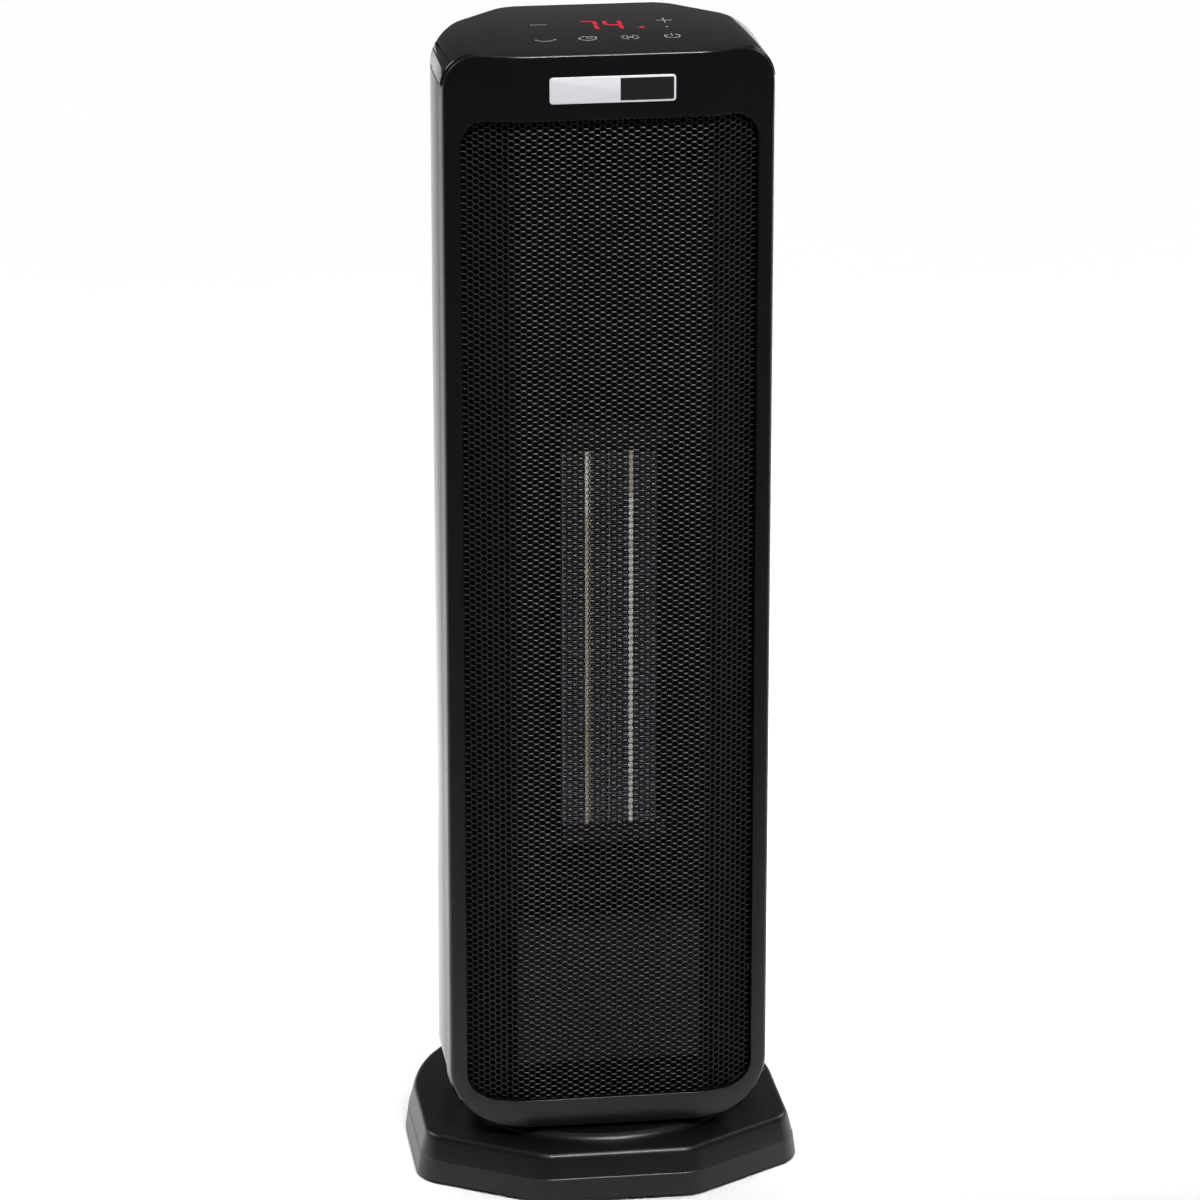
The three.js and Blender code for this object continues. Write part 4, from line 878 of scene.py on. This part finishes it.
def base_outline(name, level):
    """The base in plan: three facets in front, straight sides and a swept rear."""
    s = sizes()
    front = BASE_LOW.y
    half = BASE_HIGH.x
    rear = BASE_HIGH.y
    turn = front + s.base_chamfer_depth
    side_end = turn + s.base_side_depth
    rear_flat = s.base_rear_flat / 2
    slant = math.hypot(half - rear_flat, rear - side_end)
    bend = math.atan2(half - rear_flat, rear - side_end)
    side_radius = slant * s.base_side_sweep / math.tan(bend / 2)
    rear_radius = slant * s.base_rear_sweep / math.tan((math.pi / 2 - bend) / 2)
    corners = both_sides(
        (s.base_front_flat / 2, front, s.base_softness),
        (half, turn, s.base_softness),
        (half, side_end, side_radius),
        (rear_flat, rear, rear_radius),
    )
    return outline(name, corners, 12, False, level)


class HEATER_OT_base_cover(bpy.types.Operator):
    """Model the low eight-sided base with its band, soft shoulder and round plinth"""

    bl_idname = "heater.base_cover"
    bl_label = "Base cover"

    def execute(self, context):
        low = BASE_LOW.z
        top = 25 * MM
        cover = self.stack(low, top)
        carve(cover, self.plinth(top), "UNION")
        opened(cover, lambda spot: spot.z < low + HAIR)
        thicken(cover, 2.4 * MM)
        mended(cover)
        carve(cover, rod("hub_hole", HUB_HOLE, 10 * MM, 60 * MM, 0, 0, 72))
        inlet = GLAND_HIGH.x - 1.2 * MM
        inlet_z = (GLAND_LOW.z + GLAND_HIGH.z) / 2
        carve(cover, rod("inlet", inlet, 60 * MM, 100 * MM, 0, inlet_z, 40, True))
        smooth(cover, 28)
        belongs(cover, "base", "satin_black", "satin_base", "base_cover")
        return {"FINISHED"}

    def stack(self, low, top):
        """Grows the body from its floor outline by insets that also rise."""
        band = 12.5 * MM
        cover = base_outline("base_shell", low)
        edit(cover)
        facing(cover, (0, 0, 1))
        everything("FACE")
        bpy.ops.mesh.extrude_region_move()
        steps = [
            (1.45, band - low),
            (0.25, 0.25 * MM),
            (2.3, top - band - 3.3 * MM),
            (0.45, 1.25 * MM),
            (0.55, 0.85 * MM),
            (0.75, 0.6 * MM),
            (0.95, 0.28 * MM),
            (1.3, 0.07 * MM),
        ]
        for inward, rise in steps:
            bpy.ops.mesh.inset(thickness=inward * MM, depth=rise, use_even_offset=True)
        outward()
        object_mode()
        return cover

    def plinth(self, top):
        """The round raised seat, with a soft lip."""
        disc = rod("plinth", 72 * MM, top - 1.6 * MM, top, 0, 0, 96)
        edit(disc)
        choose(disc, "FACE", lambda face: face.normal.z > 0.9)
        for inward, rise in ((0.35, 0.75), (0.55, 0.8), (0.8, 0.7), (1.0, 0.48), (1.2, 0.22), (1.2, 0.05)):
            bpy.ops.mesh.inset(thickness=inward * MM, depth=rise * MM)
        outward()
        object_mode()
        return disc


# Rear pieces


class HEATER_OT_rear_pieces(bpy.types.Operator):
    """Model the slotted intake panel and the cord inlet"""

    bl_idname = "heater.rear_pieces"
    bl_label = "Rear pieces"

    def execute(self, context):
        self.intake()
        self.gland()
        return {"FINISHED"}

    def intake(self):
        slots = 22
        margin = 5.7 * MM
        half_slot = 2.5 * MM
        x = INTAKE_HIGH.x
        low = INTAKE_LOW.z
        high = INTAKE_HIGH.z
        front = INTAKE_LOW.y
        panel = prism("intake_panel", rectangle(-x, x, low, high, 1.2 * MM), front, REAR_Y, 4, True)
        pitch = (high - low - 2 * margin) / slots
        first = low + margin + pitch / 2
        hole = rectangle(-x + margin, x - margin, first - half_slot, first + half_slot, 2.4 * MM)
        tool = prism("slot", hole, front - PAST, REAR_Y + PAST, 6, True)
        repeated(tool, slots, (0, 0, pitch))
        carve(panel, tool)
        soften(panel, 0.5 * MM, 3, 50)
        smooth(panel, 40)
        belongs(panel, "tower", "moulded_black", "moulded_black", "intake_grille")

    def gland(self):
        """A ribbed cord inlet, turned from a ring by insets and extrusions."""
        z = (GLAND_LOW.z + GLAND_HIGH.z) / 2
        radius = GLAND_HIGH.x
        neck = radius - 1.5 * MM
        bore = 3.5 * MM
        front = GLAND_LOW.y
        back = BASE_HIGH.y
        nothing_selected()
        turn = (math.pi / 2, 0, 0)
        bpy.ops.mesh.primitive_circle_add(vertices=40, radius=neck, location=(0, front, z), rotation=turn)
        gland = named("cord_inlet")
        edit(gland)
        everything()

        def scale(grow):
            bpy.ops.transform.resize(value=(grow, 1, grow), center_override=(0, 0, z))

        def end_points():
            return [vert.co for vert in bmesh.from_edit_mesh(gland.data).verts if vert.select]

        walk = [(back + 0.2 * MM - front, 1.0), (0.0, radius / neck), (1.3 * MM, 1.0), (0.3 * MM, 0.9)]
        walk += [(0.0, 0.86), (0.8 * MM, 1.0), (0.0, 1 / 0.88), (0.8 * MM, 1.0)] * 3
        walk += [(0.5 * MM, 0.82), (0.0, 0.86)]
        for rise, grow in walk:
            extrude(y=rise)
            scale(grow)
        last = max(math.hypot(spot.x, spot.z - z) for spot in end_points())
        extrude()
        scale(bore / last)
        extrude(y=-(back + 5 * MM - front))
        extrude(y=front - end_points()[0].y)
        choose(gland, "EDGE", lambda edge: len(edge.link_faces) == 1)
        bpy.ops.mesh.bridge_edge_loops()
        outward()
        object_mode()
        soften(gland, 0.15 * MM, 2, 45, True)
        smooth(gland, 40)
        belongs(gland, "base", "rubber_black", "rubber", "cord_gland")


# Heating fins


class HEATER_OT_fins(bpy.types.Operator):
    """Model the finely folded strips of the heating element"""

    bl_idname = "heater.fins"
    bl_label = "Heating fins"

    def execute(self, context):
        for node in FINS:
            low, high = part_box(node)
            count = int((high.z - low.z) / sizes().fold_pitch)
            rise = (high.z - low.z) / count
            fold = self.one_fold(node.replace("heater_", "") + "_folded", low, high, rise)
            repeated(fold, count, (0, 0, rise), use_merge_vertices=True, merge_threshold=HAIR)
            edit(fold)
            everything()
            extrude(y=high.y - low.y)
            consistent()
            thicken(fold, 0.22 * MM, offset=0)
            smooth(fold, 50)
            belongs(fold, "tower", "aluminium", "fin_metal", node)
        return {"FINISHED"}

    def one_fold(self, name, low, high, rise):
        """Draws one fold from a single point: across, up, back and up."""
        x0 = low.x + 0.15 * MM
        x1 = high.x - 0.15 * MM
        turn = min(0.45 * MM, (x1 - x0) / 4)
        points = [
            (x0 + turn, 0.0),
            (x1 - turn, rise * 0.04),
            (x1, rise * 0.16),
            (x1, rise * 0.36),
            (x1 - turn, rise * 0.48),
            (x0 + turn, rise * 0.54),
            (x0, rise * 0.66),
            (x0, rise * 0.86),
            (x0 + turn, rise),
        ]
        nothing_selected()
        bpy.ops.mesh.primitive_plane_add(size=1.0)
        fold = named(name)
        edit(fold)
        delete(fold, "VERT", lambda vert: vert.index != 0)
        everything()
        form = bmesh.from_edit_mesh(fold.data)
        form.verts.ensure_lookup_table()
        here = points[0]
        bpy.ops.transform.translate(value=Vector((here[0], low.y, low.z)) - form.verts[0].co)
        for point in points[1:]:
            extrude(x=point[0] - here[0], z=point[1] - here[1])
            here = point
        return fold


# Shader nodes

SOCKETS = {"VALUE": "NodeSocketFloat", "VECTOR": "NodeSocketVector", "RGBA": "NodeSocketColor"}


def feed(tree, socket, value):
    """Puts a value on an input, or links another node's output to it."""
    if isinstance(value, bpy.types.NodeSocket):
        tree.links.new(value, socket)
    else:
        socket.default_value = value


def add(tree, kind, inputs, **settings):
    """Adds a node, whose inputs are given by name or number."""
    node = tree.nodes.new("ShaderNode" + kind)
    for key, value in settings.items():
        setattr(node, key, value)
    for key, value in inputs.items():
        feed(tree, node.inputs[key], value)
    return node.outputs


def object_place(tree):
    return add(tree, "TexCoord", {})["Object"]


def noise(tree, place, scale, detail, distortion=0.0):
    inputs = {"Vector": place, "Scale": scale, "Detail": detail, "Distortion": distortion}
    return add(tree, "TexNoise", inputs)["Fac"]


def calculate(tree, operation, *values, **settings):
    """The result of one step of arithmetic on values or outputs."""
    return add(tree, "Math", dict(enumerate(values)), operation=operation, **settings)[0]


def ramp(tree, value, low, high, low_value=0.0, high_value=1.0):
    """Carries a range of values over to another, and holds it at both ends."""
    inputs = {"Value": value, "From Min": low, "From Max": high, "To Min": low_value, "To Max": high_value}
    return add(tree, "MapRange", inputs)[0]


def blend(tree, amount, first, second, **settings):
    """Mixes two colours."""
    return add(tree, "Mix", {0: amount, 6: first, 7: second}, data_type="RGBA", **settings)[2]


# Shared effects


def grain(group, inside):
    """Fine moulding texture: a height for bump and a slow change of roughness."""
    place = object_place(group)
    fine = noise(group, place, inside["Grain"], 2.0)
    slow = calculate(group, "SUBTRACT", noise(group, place, 22.0, 5.0), 0.5)
    change = calculate(group, "MULTIPLY", slow, inside["Spread"])
    return {"Height": fine, "Roughness": calculate(group, "ADD", inside["Roughness"], change)}


def dust(group, inside):
    """A thin dust film that settles on faces turned up, thicker in patches."""
    split = add(group, "SeparateXYZ", {0: add(group, "NewGeometry", {})["Normal"]})
    upward = ramp(group, split["Z"], 0.35, 1.0)
    place = object_place(group)
    patches = ramp(group, noise(group, place, 38.0, 6.0), 0.35, 0.75, 0.25, 1.0)
    specks = ramp(group, noise(group, place, 900.0, 2.0), 0.45, 0.72, 0.35, 1.6)
    lying = calculate(group, "MULTIPLY", calculate(group, "MULTIPLY", patches, specks), upward)
    amount = calculate(group, "MULTIPLY", lying, inside["Amount"], use_clamp=True)
    return {"Colour": blend(group, amount, inside["Colour"], inside["Dust"])}


def handling(group, inside):
    """Faint wiped streaks and finger smears as a change of roughness, and a slight ripple."""
    place = object_place(group)
    drawn_out = {"Vector": place, "Rotation": (0.0, 0.0, 0.35), "Scale": (1.0, 1.0, 0.25)}
    stretched = add(group, "Mapping", drawn_out)["Vector"]
    smears = ramp(group, noise(group, stretched, 46.0, 7.0, 0.8), 0.46, 0.75)
    change = calculate(group, "MULTIPLY", smears, inside["Smear"])
    return {
        "Roughness": calculate(group, "ADD", inside["Roughness"], change),
        "Height": noise(group, place, 14.0, 1.0),
    }


def drawn(group, inside):
    """Drawn metal: fine streaks along one axis, as height, roughness and tone."""
    inputs = {0: object_place(group), 1: inside["Streak"]}
    stretched = add(group, "VectorMath", inputs, operation="MULTIPLY")[0]
    streaks = noise(group, stretched, 1.0, 3.0)
    change = ramp(group, streaks, 0.3, 0.7, -0.08, 0.1)
    return {
        "Height": streaks,
        "Roughness": calculate(group, "ADD", inside["Roughness"], change),
        "Tone": ramp(group, streaks, 0.3, 0.7, 0.75, 1.1),
    }


EFFECTS = {
    "fine_grain": (grain, {"Grain": 2200.0, "Roughness": 0.4, "Spread": 0.06}),
    "settled_dust": (dust, {"Colour": (0.02, 0.02, 0.02, 1), "Dust": (0.2, 0.19, 0.18, 1), "Amount": 0.05}),
    "handling": (handling, {"Roughness": 0.1, "Smear": 0.08}),
    "drawn_metal": (drawn, {"Streak": (900.0, 900.0, 20.0), "Roughness": 0.3}),
}


def shared(name):
    """The node group of that name, built once. What its builder returns becomes its outputs."""
    found = bpy.data.node_groups.get(name)
    if found:
        return found
    build, inputs = EFFECTS[name]
    group = bpy.data.node_groups.new(name, "ShaderNodeTree")
    for label, default in inputs.items():
        size = 1 if isinstance(default, float) else len(default)
        kind = {1: "VALUE", 3: "VECTOR", 4: "RGBA"}[size]
        socket = group.interface.new_socket(name=label, in_out="INPUT", socket_type=SOCKETS[kind])
        socket.default_value = default
    results = build(group, group.nodes.new("NodeGroupInput").outputs)
    for label, result in results.items():
        group.interface.new_socket(name=label, in_out="OUTPUT", socket_type=SOCKETS[result.type])
    out = group.nodes.new("NodeGroupOutput")
    for label, result in results.items():
        group.links.new(result, out.inputs[label])
    return group


def effect(tree, name, **values):
    """Places a shared node group with these values on its inputs, and gives its outputs."""
    node = tree.nodes.new("ShaderNodeGroup")
    node.node_tree = shared(name)
    for key, value in values.items():
        node.inputs[key].default_value = value
    return node.outputs


# Finishes


def rgba(tone, scale=1.0):
    """A colour of the panel by its name, or one given as it is."""
    if isinstance(tone, str):
        tone = getattr(bpy.context.scene.heater_colours, tone)
    return (tone[0] * scale, tone[1] * scale, tone[2] * scale, 1.0)


def shade(tree, inputs, height=None, strength=0.0, depth=0.0):
    """Feeds the finish's shader, with a bump from a height and its depth in millimetres."""
    shader = tree.nodes["Principled BSDF"]
    for key, value in inputs.items():
        feed(tree, shader.inputs[key], value)
    if height:
        raised = add(tree, "Bump", {"Strength": strength, "Distance": depth * MM, "Height": height})
        feed(tree, shader.inputs["Normal"], raised["Normal"])


def dusty(tree, tone, surface, specular, amount, depth, strength):
    """A surface under a thin film of dust."""
    film = effect(tree, "settled_dust", Colour=rgba(tone), Amount=amount)
    inputs = {
        "Base Color": film["Colour"],
        "Roughness": surface["Roughness"],
        "Specular IOR Level": specular,
    }
    shade(tree, inputs, surface["Height"], strength, depth)


def plastic(tree, tone, roughness, specular, amount, spread, grains, depth, strength):
    """Moulded plastic with a fine texture and a little dust."""
    texture = effect(tree, "fine_grain", Grain=grains, Roughness=roughness, Spread=spread)
    dusty(tree, tone, texture, specular, amount, depth, strength)


def gloss(tree, tone, roughness, specular, amount, smear):
    """Polished plastic with faint smears, a slight moulding ripple and a little dust."""
    wear = effect(tree, "handling", Roughness=roughness, Smear=smear)
    dusty(tree, tone, wear, specular, amount, 0.15, 0.12)


def metal(tree, tone, roughness, streak, metallic=1.0):
    """Plain drawn or rolled metal."""
    surface = effect(tree, "drawn_metal", Streak=streak, Roughness=roughness)
    toned = blend(tree, 1.0, rgba(tone), surface["Tone"], blend_type="MULTIPLY")
    inputs = {"Base Color": toned, "Roughness": surface["Roughness"], "Metallic": metallic}
    shade(tree, inputs, surface["Height"], 0.2, 0.02)


def lamp(tree, tone, strength):
    """Lit bars whose glow is uneven from end to end."""
    uneven = noise(tree, object_place(tree), 260.0, 1.0)
    glow = blend(tree, uneven, rgba(tone, 0.8), rgba(tone))
    inputs = {"Base Color": glow, "Emission Color": glow, "Emission Strength": strength, "Roughness": 0.3}
    shade(tree, inputs)


def stones(tree):
    """Cream stones, browned by heat near the top of each row and here and there."""
    place = object_place(tree)
    split = add(tree, "SeparateXYZ", {0: place})
    low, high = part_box("ceramic_row_left")
    stones_in_row = 8
    stone = calculate(tree, "DIVIDE", split["Z"], (high.z - low.z) / stones_in_row)
    side = calculate(tree, "GREATER_THAN", split["X"], 0.0)
    which = add(tree, "CombineXYZ", {0: calculate(tree, "FLOOR", stone), 1: side})[0]
    pick = add(tree, "TexWhiteNoise", {"Vector": which}, noise_dimensions="3D")["Value"]
    left = ramp(tree, split["Z"], high.z - 33 * MM, high.z - 31 * MM, 0.75, 0.0)
    right = ramp(tree, split["Z"], high.z - 24 * MM, high.z - 22 * MM, 0.0, 0.75)
    ends = add(tree, "Mix", {0: side, 2: left, 3: right}, data_type="FLOAT")[0]
    some = ramp(tree, pick, 0.72, 0.9, -0.1, 0.35)
    browned = calculate(tree, "ADD", ends, some, use_clamp=True)
    tone = blend(tree, browned, rgba("ceramic"), rgba((0.42, 0.33, 0.2)))
    grains = noise(tree, place, 1600.0, 3.0)
    mottle = ramp(tree, grains, 0.3, 0.7, 0.8, 1.05)
    mottled = blend(tree, 1.0, tone, mottle, blend_type="MULTIPLY")
    shade(tree, {"Base Color": mottled, "Roughness": 0.7}, grains, 0.3, 0.03)


def woven(tree):
    """A dark woven screen."""
    inputs = {"Vector": object_place(tree), "Scale": 260.0}
    waves = [add(tree, "TexWave", inputs, wave_type="BANDS", bands_direction=way)["Fac"] for way in "XZ"]
    threads = calculate(tree, "MAXIMUM", *waves)
    tone = blend(tree, threads, rgba((0.002, 0.002, 0.002)), rgba((0.07, 0.07, 0.075)))
    shade(tree, {"Base Color": tone, "Roughness": 0.75}, threads, 0.8, 0.2)


def circuit(tree):
    """Green board with paler copper tracks under its lacquer."""
    turned = add(tree, "Mapping", {"Vector": object_place(tree), "Rotation": (math.pi / 2, 0, 0)})["Vector"]
    inputs = {
        "Vector": turned,
        "Scale": 160.0,
        "Mortar Size": 0.06,
        "Color1": rgba((0.012, 0.075, 0.03)),
        "Color2": rgba((0.016, 0.095, 0.036)),
        "Mortar": rgba((0.05, 0.17, 0.06)),
    }
    tracks = add(tree, "TexBrick", inputs)
    shade(tree, {"Base Color": tracks["Color"], "Roughness": 0.35}, tracks["Fac"], 0.3, 0.05)


def studio(tree):
    """An even, pale backdrop."""
    cloud = noise(tree, object_place(tree), 3.0, 2.0)
    tone = blend(tree, cloud, rgba("floor", 0.98), rgba("floor"))
    shade(tree, {"Base Color": tone, "Roughness": 0.9, "Specular IOR Level": 0.1})


FINISHES = {
    # Plastics: tone, roughness, specular, dust, spread of roughness, grains per metre, depth, strength
    "satin_black": (plastic, "satin", 0.28, 0.45, 0.008, 0.08, 2400.0, 0.02, 0.25),
    "satin_base": (plastic, "satin", 0.36, 0.45, 0.015, 0.08, 1500.0, 0.05, 0.5),
    "grille_black": (plastic, "grille", 0.48, 0.52, 0.0, 0.08, 3000.0, 0.008, 0.15),
    "moulded_black": (plastic, "moulded", 0.62, 0.5, 0.05, 0.1, 1300.0, 0.05, 0.5),
    # Mouldings behind the grille: their own black, darkened further as painted shade inside the tower
    "inner_black": (plastic, "inner", 0.7, 0.08, 0.0, 0.1, 1300.0, 0.05, 0.4),
    "rubber": (plastic, "rubber", 0.8, 0.3, 0.08, 0.1, 1800.0, 0.06, 0.6),
    "gear_white": (plastic, (0.78, 0.77, 0.72), 0.45, 0.5, 0.0, 0.08, 1500.0, 0.03, 0.3),
    "resin": (plastic, (0.007, 0.007, 0.0075), 0.6, 0.2, 0.01, 0.1, 1100.0, 0.06, 0.5),
    "badge_white": (plastic, (0.84, 0.85, 0.88), 0.3, 0.5, 0.0, 0.06, 2000.0, 0.01, 0.15),
    "badge_dark": (plastic, (0.012, 0.012, 0.014), 0.35, 0.5, 0.0, 0.06, 2000.0, 0.01, 0.15),
    "printed_mark": (plastic, "marks", 0.5, 0.5, 0.0, 0.05, 2600.0, 0.01, 0.2),
    # Polished plastics: tone, roughness, specular, dust, smear
    "gloss_black": (gloss, "gloss", 0.06, 0.35, 0.008, 0.06),
    "gloss_top": (gloss, "gloss", 0.07, 0.46, 0.015, 0.06),
    # Metals: tone, roughness, streaks per metre along each axis, metallic
    "fin_metal": (metal, "fins", 0.22, (30.0, 900.0, 900.0)),
    "steel": (metal, (0.56, 0.57, 0.58), 0.3, (1200.0, 1200.0, 1200.0)),
    "motor_steel": (metal, (0.5, 0.51, 0.52), 0.36, (60.0, 60.0, 1400.0)),
    "black_steel": (metal, (0.03, 0.03, 0.032), 0.45, (1200.0, 1200.0, 1200.0), 0.6),
    "bar_metal": (metal, (0.2, 0.205, 0.21), 0.42, (900.0, 900.0, 18.0), 0.9),
    # Lit parts: tone, strength
    "lit_red": (lamp, "digits", 1.0),
    "dim_red": (lamp, (0.12, 0.02, 0.03), 0.4),
    "ceramic": (stones,),
    "filter_mesh": (woven,),
    "circuit": (circuit,),
    "studio_floor": (studio,),
}


def finish(name):
    """The finish of that name, built once, under a name that no material of the frame has."""
    found = bpy.data.materials.get("finish_" + name)
    if found:
        return found
    made = bpy.data.materials.new("finish_" + name)
    made.use_nodes = True
    build, *values = FINISHES[name]
    build(made.node_tree, *values)
    return made


class HEATER_OT_finishes(bpy.types.Operator):
    """Give the frame's own pieces their finishes"""

    bl_idname = "heater.finishes"
    bl_label = "Finishes"

    def execute(self, context):
        feet = tuple(f"foot_{place}" for place in ("front_left", "front_right", "rear_right", "rear_left"))
        plan = {
            "moulded_black": ("base_plate", "swivel_foot", "hub_retainer", "intake_grille"),
            "inner_black": ("inner_chassis", "blower_housing", "blower_wheel"),
            "rubber": (*feet, "cord_gland"),
            "gear_white": ("fixed_swing_gear", "glide_ring", "swing_pinion", "blower_bearing"),
            "motor_steel": ("swing_motor", "blower_motor"),
            "resin": ("heater_bottom_holder", "heater_top_holder", "power_box"),
            "bar_metal": ("heater_rail_left", "heater_rail_right", "heater_centre_bar"),
            "black_steel": ("heater_screw_1", "heater_screw_2"),
            "fin_metal": FINS,
            "ceramic": ("ceramic_row_left", "ceramic_row_right"),
            "circuit": ("power_board", "touch_board"),
            "filter_mesh": ("dust_filter", "control_ribbon"),
            "dim_red": ("display_module",),
            "satin_black": ("front_frame",),
            "satin_base": ("base_cover",),
            "gloss_black": ("rear_housing",),
            "gloss_top": ("top_cover",),
            "grille_black": ("front_grille",),
            "badge_white": ("badge_plate",),
        }
        finish_of = {node: finish_name for finish_name, nodes in plan.items() for node in nodes}
        for name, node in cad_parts.items():
            node.data.materials.clear()
            node.data.materials.append(finish(finish_of.get(name, "steel")))
        return {"FINISHED"}


# Stage


class HEATER_OT_stage(bpy.types.Operator):
    """Set the camera, the floor and the soft lights"""

    bl_idname = "heater.stage"
    bl_label = "Stage"

    def execute(self, context):
        scene = context.scene
        scene.view_settings.view_transform = "Standard"
        self.camera(scene)
        nothing_selected()
        bpy.ops.mesh.primitive_plane_add(size=24.0, location=(0, 0, 0))
        floor = named("studio_floor")
        floor.data.materials.append(finish("studio_floor"))
        self.world(scene)
        self.lights()
        return {"FINISHED"}

    def camera(self, scene):
        """The photo's camera, as fitted to it."""
        down = 18.559
        aside = -7.776
        focal_pixels = 5817.0
        photo_width = 1200
        sensor = 36.0
        nothing_selected()
        bpy.ops.object.camera_add(
            location=(-0.3726, -2.7445, 1.2194),
            rotation=(math.radians(90 - down), 0, math.radians(aside)),
        )
        camera = bpy.context.object
        camera.name = "photo_camera"
        camera.data.sensor_width = sensor
        camera.data.lens = focal_pixels / photo_width * sensor
        camera.data.clip_end = 50
        scene.camera = camera

    def world(self, scene):
        world = bpy.data.worlds.new("studio")
        scene.world = world
        world.use_nodes = True
        background = world.node_tree.nodes["Background"]
        background.inputs["Color"].default_value = (1, 1, 1, 1)
        background.inputs["Strength"].default_value = 0.105

    def lights(self):
        """Gridded soft boxes: one over the floor behind, one high in front, and one at each side."""
        # Name, place, target, width, height, spread in degrees, watts, turn in degrees
        plan = (
            ("overhead", (0.0, 5.52, 2.4), (0.0, 5.52, 0.0), 9.0, 11.0, 20.0, 318.0, -7.8),
            ("key", (0.42, -1.55, 2.65), (0.0, -0.05, 0.45), 1.2, 0.45, 25.0, 3.4, 0.0),
            ("left", (-2.2, 1.3, 1.7), (0.0, 0.0, 0.3), 0.9, 0.9, 60.0, 2.4, 0.0),
            ("right", (2.2, 1.3, 1.7), (0.0, 0.0, 0.3), 0.9, 0.9, 60.0, 2.4, 0.0),
        )
        for name, place, target, wide, tall, spread, power, turn in plan:
            bpy.ops.object.light_add(type="AREA", location=place)
            light = bpy.context.object
            light.name = name
            light.data.shape = "RECTANGLE"
            light.data.size = wide
            light.data.size_y = tall
            light.data.spread = math.radians(spread)
            light.data.energy = power
            direction = Vector(target) - Vector(place)
            light.rotation_euler = direction.to_track_quat("-Z", "Y").to_euler()
            light.rotation_euler.rotate_axis("Z", math.radians(turn))


# Panel and registration


class HEATER_PT_panel(bpy.types.Panel):
    """Lists the steps that build the heater"""

    bl_label = "Tower heater"
    bl_idname = "HEATER_PT_panel"
    bl_space_type = "VIEW_3D"
    bl_region_type = "UI"
    bl_category = "Heater"

    def draw(self, context):
        layout = self.layout
        for step in STEPS:
            layout.operator(step.bl_idname)
        for group in (context.scene.heater_sizes, context.scene.heater_colours):
            box = layout.box()
            for key in group.__annotations__:
                box.prop(group, key)


STEPS = (
    HEATER_OT_stage,
    HEATER_OT_finishes,
    HEATER_OT_front_frame,
    HEATER_OT_grille,
    HEATER_OT_side_shell,
    HEATER_OT_top_cover,
    HEATER_OT_touch_marks,
    HEATER_OT_badge,
    HEATER_OT_base_cover,
    HEATER_OT_rear_pieces,
    HEATER_OT_fins,
)
CLASSES = (HeaterSizes, HeaterColours, *STEPS, HEATER_PT_panel)


def register():
    for item in CLASSES:
        bpy.utils.register_class(item)
    bpy.types.Scene.heater_sizes = bpy.props.PointerProperty(type=HeaterSizes)
    bpy.types.Scene.heater_colours = bpy.props.PointerProperty(type=HeaterColours)


def unregister():
    del bpy.types.Scene.heater_colours
    del bpy.types.Scene.heater_sizes
    for item in reversed(CLASSES):
        bpy.utils.unregister_class(item)


def main():
    register()
    nothing_selected()
    bpy.ops.heater.stage()
    bpy.ops.heater.finishes()
    bpy.ops.heater.front_frame()
    bpy.ops.heater.grille()
    bpy.ops.heater.side_shell()
    bpy.ops.heater.top_cover()
    bpy.ops.heater.touch_marks()
    bpy.ops.heater.badge()
    bpy.ops.heater.base_cover()
    bpy.ops.heater.rear_pieces()
    bpy.ops.heater.fins()
    object_mode()


if __name__ == "__main__":
    main()
